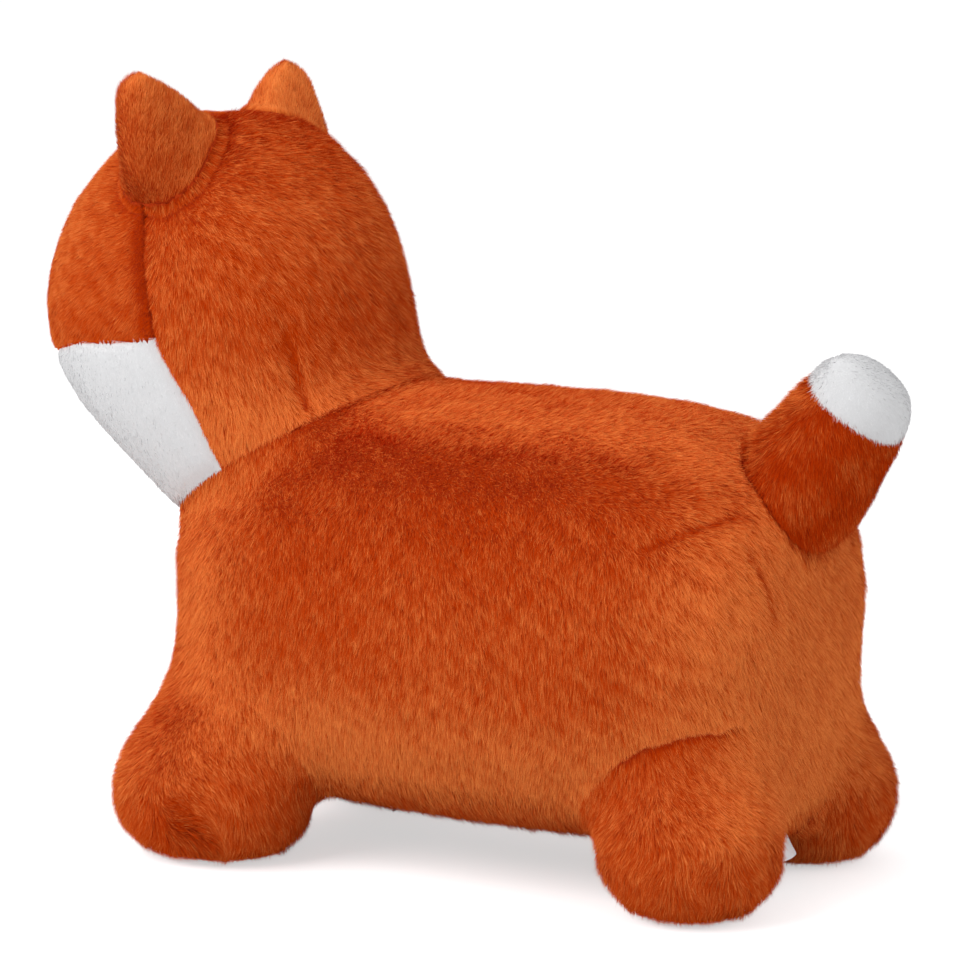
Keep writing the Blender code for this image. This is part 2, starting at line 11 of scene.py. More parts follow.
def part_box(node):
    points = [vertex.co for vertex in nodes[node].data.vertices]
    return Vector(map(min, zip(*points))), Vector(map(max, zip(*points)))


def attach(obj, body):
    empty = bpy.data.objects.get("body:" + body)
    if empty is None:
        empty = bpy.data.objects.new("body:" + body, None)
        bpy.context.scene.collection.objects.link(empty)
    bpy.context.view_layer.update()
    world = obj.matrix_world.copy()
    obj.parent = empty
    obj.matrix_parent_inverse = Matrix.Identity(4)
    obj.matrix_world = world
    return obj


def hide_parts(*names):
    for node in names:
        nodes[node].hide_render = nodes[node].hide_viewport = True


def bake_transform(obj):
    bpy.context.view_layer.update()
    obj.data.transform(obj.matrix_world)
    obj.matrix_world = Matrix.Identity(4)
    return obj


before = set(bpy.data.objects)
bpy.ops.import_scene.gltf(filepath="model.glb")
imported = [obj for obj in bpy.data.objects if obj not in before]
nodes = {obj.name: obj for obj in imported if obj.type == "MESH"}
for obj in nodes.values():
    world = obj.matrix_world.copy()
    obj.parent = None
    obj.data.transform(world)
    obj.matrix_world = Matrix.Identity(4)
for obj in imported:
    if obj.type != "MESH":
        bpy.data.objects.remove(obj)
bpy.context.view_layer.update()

scene = bpy.context.scene
scene.view_settings.view_transform = "Standard"


# Camera
# A long lens stands behind the fox's left hip, 2.8 m away and a little above its back,
# and is aimed at the trunk. The lens is shifted, which keeps the fox low in the picture.
trunk_middle = Vector((0.0, 0.0345, 0.159))


def added(name, data):
    """A new object for a mesh, a lamp or a camera, linked into the scene."""
    made = bpy.data.objects.new(name, data)
    scene.collection.objects.link(made)
    return made


def aimed(made, turn, rise, distance):
    """Stands a lamp or camera round from the fox's front and above it, facing its trunk."""
    turn, rise = math.radians(turn), math.radians(rise)
    back = Vector((math.sin(turn) * math.cos(rise), -math.cos(turn) * math.cos(rise),
                   math.sin(rise)))
    made.location = trunk_middle + back * distance
    made.rotation_euler = (-back).to_track_quat("-Z", "Y").to_euler()


camera = added("camera", bpy.data.cameras.new("camera"))
aimed(camera, turn=119.5, rise=11.5, distance=2.8)
camera.data.sensor_width = 36.0
camera.data.lens = 170.58
camera.data.shift_x = -0.0282
camera.data.shift_y = 0.1123
scene.camera = camera


# Studio: floor, white surround and soft boxes
# A wide pale floor runs into a white surround. Two large soft boxes and the even
# light of the surround fall on the toy, and the floor keeps its faint shadow.
def soft_box(name, turn, rise, distance, width, power):
    """A square lamp of this width in metres and power in watts."""
    made = added(name, bpy.data.lights.new(name, "AREA"))
    aimed(made, turn, rise, distance)
    made.data.shape = "SQUARE"
    made.data.size = width
    made.data.energy = power


soft_box("key_softbox", turn=60.0, rise=45.0, distance=2.3, width=1.6, power=31.0)
soft_box("fill_softbox", turn=175.0, rise=35.0, distance=2.6, width=1.8, power=14.0)

# The surround lights evenly and weakly, and is seen and mirrored as white.
surround = bpy.data.worlds.new("white_surround")
scene.world = surround
surround.use_nodes = True
tree = surround.node_tree
even_light = tree.nodes["Background"]
seen_white = tree.nodes.new("ShaderNodeBackground")
for background, strength in ((even_light, 0.53), (seen_white, 1.0)):
    background.inputs["Color"].default_value = (1.0, 1.0, 1.0, 1.0)
    background.inputs["Strength"].default_value = strength
rays = tree.nodes.new("ShaderNodeLightPath")
seen_or_mirrored = tree.nodes.new("ShaderNodeMath")
seen_or_mirrored.operation = "MAXIMUM"
seen_at_all = tree.nodes.new("ShaderNodeMath")
seen_at_all.operation = "MAXIMUM"
choose = tree.nodes.new("ShaderNodeMixShader")
tree.links.new(rays.outputs["Is Camera Ray"], seen_or_mirrored.inputs[0])
tree.links.new(rays.outputs["Is Glossy Ray"], seen_or_mirrored.inputs[1])
tree.links.new(seen_or_mirrored.outputs[0], seen_at_all.inputs[0])
tree.links.new(rays.outputs["Is Transmission Ray"], seen_at_all.inputs[1])
tree.links.new(seen_at_all.outputs[0], choose.inputs[0])
tree.links.new(even_light.outputs[0], choose.inputs[1])
tree.links.new(seen_white.outputs[0], choose.inputs[2])
tree.links.new(choose.outputs[0], tree.nodes["World Output"].inputs["Surface"])

# The floor lies a hair under the soles. It is matt, and the camera sees it glow a little,
# so that it runs into the surround but keeps the shadow.
floor_radius, floor_height, floor_glow = 9.0, -0.0006, 0.55
bpy.ops.mesh.primitive_circle_add(vertices=96, radius=floor_radius, fill_type="NGON",
                                  location=(0.0, 0.0, floor_height))
floor = bpy.context.object
floor.name = "studio_floor"
paint = bpy.data.materials.new("studio_floor")
paint.use_nodes = True
tree = paint.node_tree
matt = tree.nodes["Principled BSDF"]
matt.inputs["Base Color"].default_value = (0.90, 0.90, 0.90, 1.0)
matt.inputs["Roughness"].default_value = 0.9
lit_through = tree.nodes.new("ShaderNodeEmission")
rays = tree.nodes.new("ShaderNodeLightPath")
share = tree.nodes.new("ShaderNodeMath")
share.operation = "MULTIPLY"
share.inputs[1].default_value = floor_glow
both = tree.nodes.new("ShaderNodeAddShader")
tree.links.new(rays.outputs["Is Camera Ray"], share.inputs[0])
tree.links.new(share.outputs[0], lit_through.inputs["Strength"])
tree.links.new(matt.outputs[0], both.inputs[0])
tree.links.new(lit_through.outputs[0], both.inputs[1])
tree.links.new(both.outputs[0], tree.nodes["Material Output"].inputs["Surface"])
floor.data.materials.append(paint)


# Air bladder
# One balloon of thick soft vinyl, moulded in one piece with a lobe down into each leg. It
# is blown up inside the zipped cover and carries the rider.
def new_material(name, colour, roughness, metallic=0.0):
    """A plain finish, with the tree and the shader that hold it."""
    made = bpy.data.materials.new(name)
    made.use_nodes = True
    shader = made.node_tree.nodes["Principled BSDF"]
    shader.inputs["Base Color"].default_value = (*colour, 1.0)
    shader.inputs["Roughness"].default_value = roughness
    shader.inputs["Metallic"].default_value = metallic
    return made, made.node_tree, shader


def textured(name, kind, size, dark, light, roughness, relief, metallic=0.0,
             stretch=(1.0, 1.0, 1.0)):
    """A finish whose colour and relief follow one texture, laid on in the object's own axes.

    Size is that of the texture's grain, and relief its depth, both in metres.
    """
    made, tree, shader = new_material(name, light, roughness, metallic)
    place = tree.nodes.new("ShaderNodeTexCoord")
    laid = tree.nodes.new("ShaderNodeMapping")
    laid.inputs["Scale"].default_value = stretch
    texture = tree.nodes.new("ShaderNodeTex" + kind)
    texture.inputs["Scale"].default_value = 1.0 / size
    height = texture.outputs["Distance" if kind == "Voronoi" else "Fac"]
    colours = tree.nodes.new("ShaderNodeValToRGB")
    # The colour changes between these shares of the texture's height.
    for element, place_in_ramp, colour in zip(colours.color_ramp.elements, (0.15, 0.80),
                                              (dark, light)):
        element.position = place_in_ramp
        element.color = (*colour, 1.0)
    bump = tree.nodes.new("ShaderNodeBump")
    bump.inputs["Strength"].default_value = 0.5
    bump.inputs["Distance"].default_value = relief
    tree.links.new(place.outputs["Object"], laid.inputs["Vector"])
    tree.links.new(laid.outputs["Vector"], texture.inputs["Vector"])
    tree.links.new(height, colours.inputs["Fac"])
    tree.links.new(colours.outputs["Color"], shader.inputs["Base Color"])
    tree.links.new(height, bump.inputs["Height"])
    tree.links.new(bump.outputs["Normal"], shader.inputs["Normal"])
    return made


def joined(names):
    """The solids' triangles in one bmesh, with their corners merged."""
    bm = bmesh.new()
    for name in names:
        bm.from_mesh(nodes[name].data)
    bmesh.ops.remove_doubles(bm, verts=bm.verts, dist=0.000001)
    return bm


def piece_of(name, bm):
    """A new object with this bmesh as its mesh."""
    mesh = bpy.data.meshes.new(name)
    bm.to_mesh(mesh)
    bm.free()
    return added(name, mesh)


def shaped(made, name, kind, **settings):
    """Adds a modifier with these settings to the object and applies it."""
    bpy.ops.object.select_all(action="DESELECT")
    bpy.context.view_layer.objects.active = made
    made.select_set(True)
    modifier = made.modifiers.new(name, kind)
    for setting, value in settings.items():
        setattr(modifier, setting, value)
    bpy.ops.object.modifier_apply(modifier=name)


def filled_out(name, node, levels, rounds):
    """A smooth copy of a soft solid, with the same openings and walls."""
    made = piece_of(name, joined([node]))
    shaped(made, "finer", "SUBSURF", levels=levels, subdivision_type="SIMPLE")
    shaped(made, "evened", "SMOOTH", factor=0.5, iterations=rounds)
    made.data.shade_smooth()
    return made


bladder_vinyl = textured("bladder_vinyl", "Noise", size=0.0016, dark=(0.70, 0.69, 0.64),
                         light=(0.79, 0.78, 0.74), roughness=0.42, relief=0.00015)
bladder = filled_out("bladder_skin", "air_bladder", levels=1, rounds=3)
bladder.data.materials.append(bladder_vinyl)
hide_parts("air_bladder")
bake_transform(bladder)


# Valve
# A flanged tube of soft vinyl welded into the bladder's underside over the zip, and the
# push-in stopper of harder white plastic that plugs its narrow seat.
valve_vinyl = textured("valve_vinyl", "Noise", size=0.0011, dark=(0.78, 0.78, 0.75),
                       light=(0.86, 0.86, 0.84), roughness=0.45, relief=0.0001)
stopper_plastic = textured("stopper_plastic", "Noise", size=0.0030, dark=(0.86, 0.86, 0.86),
                           light=(0.91, 0.91, 0.91), roughness=0.25, relief=0.00004)


def finished(node, material):
    """Gives a solid that keeps its own shape its finish."""
    for slot in nodes[node].material_slots:
        slot.material = material


finished("valve_seat", valve_vinyl)
finished("valve_plug", stopper_plastic)


# Head and tail filling
# Loose crimped polyester fibre, teased apart and packed into the head and the tail through
# the last seam, so that its outside is uneven.
filling_fibre = textured("filling_fibre", "Noise", size=0.0012, dark=(0.80, 0.80, 0.78),
                         light=(0.91, 0.91, 0.89), roughness=0.95, relief=0.0008)
for name, node, body in (("head_filling", "head_stuffing", "body"),
                         ("tail_filling", "tail_stuffing", "tail")):
    filling = filled_out(name, node, levels=2, rounds=12)
    tufted = bpy.data.textures.new(name, "CLOUDS")
    tufted.noise_scale = 0.009
    shaped(filling, "uneven", "DISPLACE", texture=tufted, strength=0.003, mid_level=1.0)
    filling.data.materials.append(filling_fibre)
    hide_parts(node)
    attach(filling, body)


# The sewn cover, as one stuffed form
# Trunk, head, ears, muzzle, legs and tail are cut from plush, sewn together and filled out
# by the bladder and the stuffing. Their solids are joined and remeshed, so that the cloth
# runs over the joins, then drawn in at the seams and set back by the height of the pile.
form_nodes = {
    "trunk": ["trunk_cover"],
    "head": ["head_cover_back", "head_cover_brow", "head_cover_bib"],
    "leg_front_left": ["leg_cover_front_left", "paw_sole_front_left"],
    "leg_front_right": ["leg_cover_front_right", "paw_sole_front_right"],
    "leg_hind_left": ["leg_cover_hind_left", "paw_sole_hind_left"],
    "leg_hind_right": ["leg_cover_hind_right", "paw_sole_hind_right"],
    "tail": ["tail_cover", "tail_tip"],
    "ear_left": ["ear_left"],
    "ear_right": ["ear_right"],
    "lining_left": ["ear_lining_left"],
    "lining_right": ["ear_lining_right"],
    "muzzle": ["muzzle"],
}
form_names = list(form_nodes)
front_legs = ["leg_front_left", "leg_front_right"]
hind_legs = ["leg_hind_left", "leg_hind_right"]
slot_low, slot_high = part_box("zip_tape_left")
slot_middle_y = (slot_low.y + slot_high.y) / 2
slot_length = slot_high.y - slot_low.y

# The filling goes in too, and a block bridges the belly slot over the zip, so that the form
# is full. The largest of the shells that the remesh leaves is the cloth's outer face.
every_node = [name for names in form_nodes.values() for name in names]
stuffed = joined(every_node + ["air_bladder", "head_stuffing", "tail_stuffing", "valve_seat",
                               "valve_plug"])
bridge_width, bridge_length, bridge_height = 0.040, slot_length + 0.004, 0.022
bridge_floor = 0.0215
for vert in bmesh.ops.create_cube(stuffed, size=1.0)["verts"]:
    vert.co.x *= bridge_width
    vert.co.y = slot_middle_y + vert.co.y * bridge_length
    vert.co.z = bridge_floor + (vert.co.z + 0.5) * bridge_height
cover = piece_of("sewn_cover", stuffed)
shaped(cover, "close_gaps", "DISPLACE", strength=0.0004, mid_level=0.0)
shaped(cover, "cloth", "REMESH", mode="VOXEL", voxel_size=0.0034)
bpy.ops.object.mode_set(mode="EDIT")
bpy.ops.mesh.separate(type="LOOSE")
bpy.ops.object.mode_set(mode="OBJECT")
shells = sorted(bpy.context.selected_objects, key=lambda shell: len(shell.data.vertices))
cover = shells.pop()
for shell in shells:
    bpy.data.objects.remove(shell, do_unlink=True)


def listed(things, what, width, kind):
    """One attribute of all of a mesh's points, edges or triangles, a row for each."""
    values = np.empty(len(things) * width, kind)
    things.foreach_get(what, values)
    return values.reshape(-1, width)


cover.data.calc_loop_triangles()
points = listed(cover.data.vertices, "co", 3, np.float64)
corners = listed(cover.data.loop_triangles, "vertices", 3, np.int64)
edges = listed(cover.data.edges, "vertices", 2, np.int64)
count = len(points)
bpy.data.objects.remove(cover, do_unlink=True)

# How far each point of the cloth is from each form tells the forms and their joins apart.
# A point outside a form's box by more than the margin counts as far away.
margin, far_away = 0.06, 0.2
reach = np.full((count, len(form_names)), far_away)
for number, form in enumerate(form_names):
    bm = joined(form_nodes[form])
    surface = BVHTree.FromBMesh(bm)
    bm.free()
    boxes = [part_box(name) for name in form_nodes[form]]
    low = np.min([tuple(box[0]) for box in boxes], axis=0) - margin
    high = np.max([tuple(box[1]) for box in boxes], axis=0) + margin
    for index in np.flatnonzero(((points > low) & (points < high)).all(axis=1)):
        reach[index, number] = surface.find_nearest(points[index])[3]


def from_form(form):
    return reach[:, form_names.index(form)]


def near_join(one, other, width):
    """One along the join of two forms, falling to nought about two widths away from it."""
    return np.exp(-(np.maximum(one, other) / width) ** 2)


def relaxed(values, weights, rounds):
    """Each point's values, drawn towards the mean of its neighbours' as far as it gives."""
    values = values.copy()
    a, b = edges.T
    degree = np.bincount(edges.ravel(), minlength=count)[:, None]
    for _round in range(rounds):
        mean = np.empty_like(values)
        for axis in range(values.shape[1]):
            mean[:, axis] = (np.bincount(a, values[b, axis], count)
                             + np.bincount(b, values[a, axis], count))
        values += weights[:, None] * (mean / degree - values)
    return values


tiny = 1e-12


def unit(vectors):
    return vectors / np.maximum(np.linalg.norm(vectors, axis=1, keepdims=True), tiny)


def outward(points):
    """Smooth normals of the cloth at its points."""
    first, second, third = (points[corners[:, k]] for k in range(3))
    across = np.cross(second - first, third - first)
    return unit(np.stack([sum(np.bincount(corners[:, k], across[:, axis], count)
                              for k in range(3)) for axis in range(3)], axis=1))


def ramp(values, start, end):
    """From nought at start to one at end, with soft ends. Where values are places on the fox,
    start and end are in metres, back along it or up from the floor."""
    share = np.clip((values - start) / (end - start), 0.0, 1.0)
    return share * share * (3.0 - 2.0 * share)


tail_rise = math.radians(54.0)
tail_way = np.array((0.0, math.cos(tail_rise), math.sin(tail_rise)))
tail_start = np.array((0.0, 0.2085, 0.222))

# First the cloth bridges most joins a little, by a fillet about this wide.
fillets = {"leg_front_left": 0.030, "leg_front_right": 0.030, "leg_hind_left": 0.015,
           "leg_hind_right": 0.015, "head": 0.013, "tail": 0.007}
ear_fillet = 0.0120
give = np.full(count, 0.10)
for form, width in fillets.items():
    give = np.maximum(give, 0.8 * near_join(from_form(form), from_form("trunk"), width))
for side in ("left", "right"):
    from_ear = np.minimum(from_form("ear_" + side), from_form("lining_" + side))
    give = np.maximum(give, 0.8 * near_join(from_ear, from_form("head"), ear_fillet))
points = relaxed(points, give, 30)

# Then it bridges some joins widely: the front legs above the paws, the hind legs at the
# rear, a little at their fore edge, and the nape.
shoulder_fillet, rump_fillet, knee_fillet, nape_fillet = 0.044, 0.032, 0.016, 0.016
give = np.zeros(count)
for form in front_legs:
    give = np.maximum(give, 0.9 * near_join(from_form(form), from_form("trunk"),
                                            shoulder_fillet))
give *= ramp(points[:, 2], 0.045, 0.080)
above_foot = ramp(points[:, 2], 0.026, 0.046)
rear = ramp(points[:, 1], 0.190, 0.222) * above_foot
fore = ((1.0 - ramp(points[:, 1], 0.125, 0.155)) * above_foot
        * (1.0 - ramp(points[:, 2], 0.085, 0.110)))
for form in hind_legs:
    give = np.maximum(give, 0.9 * near_join(from_form(form), from_form("trunk"),
                                            rump_fillet) * rear)
    give = np.maximum(give, 0.5 * near_join(from_form(form), from_form("trunk"),
                                            knee_fillet) * fore)
nape = near_join(from_form("head"), from_form("trunk"), nape_fillet)
give = np.maximum(give, 0.9 * nape * ramp(points[:, 1], -0.085, -0.060))
points = relaxed(points, give, 170)

# The tail's tip is rounded off.
along_tail = (points - tail_start) @ tail_way
points = relaxed(points, 0.7 * ramp(along_tail, 0.075, 0.095) * (from_form("tail") < 0.004), 6)

# The rump's cloth hangs down between the hind legs, the stuffing draws the belly's sides up
# a little between the legs, and the right ear stands a little lower than the left one.
rump_sag, belly_lift, ear_drop = 0.019, 0.0050, 0.0045
rump_middle_y, sag_length, sag_width = 0.226, 0.036, 0.055
on_trunk = from_form("trunk") < 0.012
slack = (np.exp(-((points[:, 1] - rump_middle_y) / sag_length) ** 2
                - (points[:, 0] / sag_width) ** 2)
         * (1.0 - ramp(points[:, 2], 0.060, 0.125)) * on_trunk)
points[:, 2] -= rump_sag * slack
drawn_up = (ramp(np.abs(points[:, 0]), 0.022, 0.042) * (1.0 - ramp(points[:, 2], 0.085, 0.125))
            * ramp(points[:, 1], -0.110, -0.055) * (1.0 - ramp(points[:, 1], 0.120, 0.170)))
points[:, 2] += belly_lift * drawn_up * on_trunk
points[:, 2] -= ear_drop * ramp(points[:, 2], 0.425, 0.470) * (points[:, 0] < 0.0)

# Facets of the solids are evened out without the cloth shrinking: drawn in, then let out.
for _round in range(45):
    points = relaxed(points, np.full(count, 0.60), 1)
    points = relaxed(points, np.full(count, -0.63), 1)
reach = relaxed(reach, np.full(count, 0.3), 3)


def to_path(at, path):
    """Distance of each point to a path of straight steps, in as many axes as it has."""
    best = np.ones(len(at))
    for start, end in zip(path, path[1:]):
        start, step = np.array(start), np.array(end) - np.array(start)
        along = np.clip((at - start) @ step / (step @ step), 0.0, 1.0)
        best = np.minimum(best, np.linalg.norm(at - start - along[:, None] * step, axis=1))
    return best


# Panel seams of the head, in side view. They meet at the cheek: the face seam runs up over
# the crown, the cheek seam forward to the nose, and the throat seam down to the neck.
cheek = (-0.1515, 0.317)
face_seam = [(-0.1685, 0.500), (-0.1685, 0.386), cheek]
cheek_seam = [cheek, (-0.2115, 0.310), (-0.2575, 0.297), (-0.3655, 0.275)]
throat_seam = [cheek, (-0.1265, 0.276), (-0.1145, 0.245), (-0.0705, 0.140)]
neck_seam_back = (-0.055, 0.277)
neck_seam_slope = 0.63


def above_neck(at):
    """Height above the neck seam, which lies in one plane."""
    rise = at[:, 2] - neck_seam_back[1] - neck_seam_slope * (at[:, 1] - neck_seam_back[0])
    return rise / math.hypot(1.0, neck_seam_slope)


def head_panel(at):
    """The head's panel that each point is on: 0 the back, 1 the brow, 2 the bib."""
    y, z = at[:, 1], at[:, 2]
    face_y = np.interp(-z, [-z for _y, z in face_seam], [y for y, _z in face_seam])
    throat_y = np.interp(-z, [-z for _y, z in throat_seam], [y for y, _z in throat_seam])
    cheek_z = np.interp(-y, [-y for y, _z in cheek_seam], [z for _y, z in cheek_seam])
    brow = (z > cheek_z) & (y < np.where(z > cheek[1], face_y, cheek[0]))
    bib = (z <= cheek_z) & (y < throat_y)
    return np.where(brow, 1, np.where(bib, 2, 0))


seam_reach = 0.05


def between(one, other, bias=0.0):
    """Nought along the join of two forms, and one to either side where it is far away."""
    return np.where(np.maximum(one, other) < seam_reach, one - other + bias,
                    np.where(one > other, 1.0, -1.0))


# Signed distances to the seams between the forms, positive on the smaller form. The seams
# of haunches and ears lie a little way out on the larger form.
haunch_shift, ear_shift = 0.007, 0.006
join = {"muzzle": between(from_form("head"), from_form("muzzle"))}
join["neck"] = between(from_form("trunk"), from_form("head"))
join["neck"] = np.where(np.abs(join["neck"]) < seam_reach, above_neck(points), join["neck"])
join["tail"] = between(from_form("trunk"), from_form("tail"))
for form in front_legs:
    join[form] = between(from_form("trunk"), from_form(form))
for form in hind_legs:
    join[form] = between(from_form("trunk"), from_form(form), haunch_shift)
for side in ("left", "right"):
    from_ear = np.minimum(from_form("ear_" + side), from_form("lining_" + side))
    join["ear_" + side] = between(from_form("head"), from_ear, ear_shift)

# The tail is white beyond this length, and a sole reaches up to this height.
white_from = 0.0900
sole_height = 0.014
panel_names = ["trunk", "head_back", "head_brow", "head_bib", "muzzle", "ear_left",
               "ear_right", "lining_left", "lining_right", "tail", "tail_tip"]
legs = ["front_left", "front_right", "hind_left", "hind_right"]
panel_names += ["leg_" + leg for leg in legs] + ["sole_" + leg for leg in legs]


def panel_at(at, near, seams, normal):
    """Number of the cover's panel that each point belongs to."""
    form = near.argmin(axis=1)
    panel = np.zeros(len(at), np.int64)
    head = (seams["neck"] > 0.0) & (form < 2)
    panel[head] = 1 + head_panel(at)[head]
    for name in ("muzzle", "ear_left", "ear_right", "lining_left", "lining_right"):
        panel[form == form_names.index(name)] = panel_names.index(name)
    for leg in legs:
        here = form == form_names.index("leg_" + leg)
        here |= (form == 0) & (seams["leg_" + leg] > 0.0)
        panel[here] = panel_names.index("leg_" + leg)
        sole = here & (normal[:, 2] < -0.8) & (at[:, 2] < sole_height)
        panel[sole] = panel_names.index("sole_" + leg)
    tail = form == form_names.index("tail")
    tip = (at - tail_start) @ tail_way > white_from
    panel[tail] = np.where(tip, panel_names.index("tail_tip"), panel_names.index("tail"))[tail]
    return panel


# Wrinkles and darts that the stuffing pulls into the cloth, each a path and its depth. The
# depths of seams and creases are shares of a full crease's.
creases = [([(0.1063, 0.1763, 0.2222), (0.0870, 0.2000, 0.2320), (0.0624, 0.2177, 0.2392)], 0.60),
           ([(0.0665, 0.2280, 0.2180), (0.0610, 0.2345, 0.1980), (0.0555, 0.2385, 0.1780)], 0.55),
           ([(0.0741, -0.0807, 0.3233), (0.0727, -0.0755, 0.3054), (0.0737, -0.0681, 0.2789)],
            0.80),
           ([(0.0800, -0.0900, 0.3000), (0.0830, -0.0840, 0.2850)], 0.40),
           ([(-0.1010, 0.1800, 0.2200), (-0.0700, 0.2140, 0.2360)], 0.55),
           ([(-0.0760, -0.0780, 0.3120), (-0.0750, -0.0700, 0.2820)], 0.60)]
crease_width, head_seam_width, ear_seam_width = 0.0036, 0.0034, 0.0026
seam_depth = {"neck": 0.50, "tail": 0.95, "leg_hind_left": 0.60, "leg_hind_right": 0.60,
              "ear_left": 0.8, "ear_right": 0.8, "muzzle": 0.5}
head_seams = ((face_seam, 1.3), (cheek_seam, 0.45), (throat_seam, 0.6))


def seam_fade(name, at):
    """The haunch seams fade out towards the belly and round the rear."""
    if name in hind_legs:
        return ramp(at[:, 2], 0.076, 0.104) * (1.0 - 0.9 * ramp(at[:, 1], 0.215, 0.232))
    return np.ones(len(at))


def drawn_in(at, seams, on_head):
    """How strongly the cloth is drawn in at each point, as a share of a crease's depth."""
    pull = np.zeros(len(at))
    for name, depth in seam_depth.items():
        there = depth * seam_fade(name, at)
        width = ear_seam_width if name.startswith("ear") else crease_width
        pull = np.maximum(pull, there * np.exp(-(seams[name] / width) ** 2))
    for seam, depth in head_seams:
        near = np.exp(-(to_path(at[:, 1:], seam) / head_seam_width) ** 2)
        pull = np.maximum(pull, np.where(on_head, depth * near, 0.0))
    for path, depth in creases:
        pull = np.maximum(pull, depth * np.exp(-(to_path(at, path) / crease_width) ** 2))
    return pull


normals = outward(points)
panels = panel_at(points, reach, join, normals)
head_panels = [panel_names.index(name) for name in ("head_back", "head_brow", "head_bib")]
on_head = np.isin(panels, head_panels)

# Length of the pile's fibres: long on the body and longest on the paws, short on face, ears
# and soles.
body_fibre, sole_fibre, paw_extra = 0.0080, 0.0038, 0.0016
fibre = {"head_brow": 0.0050, "head_bib": 0.0036, "muzzle": 0.0034, "ear_left": 0.0048,
         "ear_right": 0.0048, "lining_left": 0.0024, "lining_right": 0.0024,
         "tail_tip": 0.0036, "tail": 0.0070}
fibre_at = np.array([fibre.get(name, sole_fibre if name.startswith("sole") else body_fibre)
                     for name in panel_names])[panels]
on_leg = np.char.startswith(np.array(panel_names), "leg_")[panels] * 1.0
fibre_at = fibre_at + paw_extra * on_leg * (1.0 - ramp(points[:, 2], 0.025, 0.065))
fibre_at = relaxed(fibre_at[:, None], np.full(count, 0.5), 2)[:, 0]


def lift_of(normal):
    """The pile lies down on the flanks and on the crest, and stands up most in between."""
    return np.radians(27.0 + 12.0 * ramp(normal[:, 2], -0.10, 0.70)
                      - 20.0 * ramp(normal[:, 2], 0.80, 0.97))


# The cloth is set back by most of the pile's height, and by a crease's depth in the seams.
crease_depth = 0.0036
pile_share, pile_clearance = 0.86, 0.0005
set_back = fibre_at * pile_share * np.sin(lift_of(normals)) + pile_clearance
points = points - normals * (set_back + crease_depth
                             * drawn_in(points, join, on_head))[:, None]
points = relaxed(points, np.full(count, 0.12), 1)
normals = outward(points)


# Backing cloth of each panel
# Under the pile every panel is a knitted backing nearly 2 mm thick with its seam allowance.
# The one stuffed form is parted where the panels are sewn, and each gets its thickness.
orange_knit = textured("orange_knit", "Voronoi", size=0.0009, dark=(0.32, 0.021, 0.001),
                       light=(0.46, 0.042, 0.003), roughness=0.9, relief=0.0003)
white_knit = textured("white_knit", "Voronoi", size=0.0009, dark=(0.72, 0.72, 0.73),
                      light=(0.80, 0.80, 0.81), roughness=0.9, relief=0.0002)
for knit in (orange_knit, white_knit):
    shader = knit.node_tree.nodes["Principled BSDF"]
    shader.inputs["Specular IOR Level"].default_value = 0.1


def carried(piece, panel):
    """Sets a panel's cloth or pile on the bodies that carry the panel."""
    if panel.startswith("sole_"):
        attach(piece, "feet")
    elif panel.startswith("leg_"):
        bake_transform(piece)
    elif panel == "tail":
        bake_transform(piece)
    elif panel == "tail_tip":
        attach(piece, "tail")
    else:
        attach(piece, "body")


stands_for = {"trunk": ["trunk_cover"], "head_back": ["head_cover_back"],
              "head_brow": ["head_cover_brow"], "head_bib": ["head_cover_bib"],
              "muzzle": ["muzzle"], "ear_left": ["ear_left"], "ear_right": ["ear_right"],
              "lining_left": ["ear_lining_left"], "lining_right": ["ear_lining_right"],
              "tail": ["tail_cover"], "tail_tip": ["tail_tip"]}
for leg in legs:
    stands_for["leg_" + leg] = ["leg_cover_" + leg]
    stands_for["sole_" + leg] = ["paw_sole_" + leg]
white_panels = {"head_bib", "muzzle", "lining_left", "lining_right", "tail_tip"}

# The belly opening leaves the outer 2 mm of each zip tape under the cloth.
opening_size = (0.0314, slot_length + 0.0006, 0.070)

face_normals = unit(normals[corners].mean(axis=1))
face_panel = panel_at(points[corners].mean(axis=1), reach[corners].mean(axis=1),
                      {name: values[corners].mean(axis=1) for name, values in join.items()},
                      face_normals)
for number, panel in enumerate(panel_names):
    used, faces = np.unique(corners[face_panel == number], return_inverse=True)
    mesh = bpy.data.meshes.new(panel + "_backing")
    mesh.from_pydata(points[used], [], faces.reshape(-1, 3))
    mesh.shade_smooth()
    mesh.materials.append(white_knit if panel in white_panels else orange_knit)
    backing = added(panel + "_backing", mesh)
    shaped(backing, "wall", "SOLIDIFY", thickness=0.0018, offset=-1.0)
    if panel == "trunk":
        # It is open under the belly, where the zip's tapes are sewn in.
        bpy.ops.mesh.primitive_cube_add(size=1.0, location=(0.0, slot_middle_y, 0.0))
        opening = bpy.context.object
        opening.scale = opening_size
        shaped(backing, "zip_opening", "BOOLEAN", operation="DIFFERENCE", object=opening,
               solver="EXACT")
        bpy.data.objects.remove(opening, do_unlink=True)
    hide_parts(*stands_for[panel])
    carried(backing, panel)


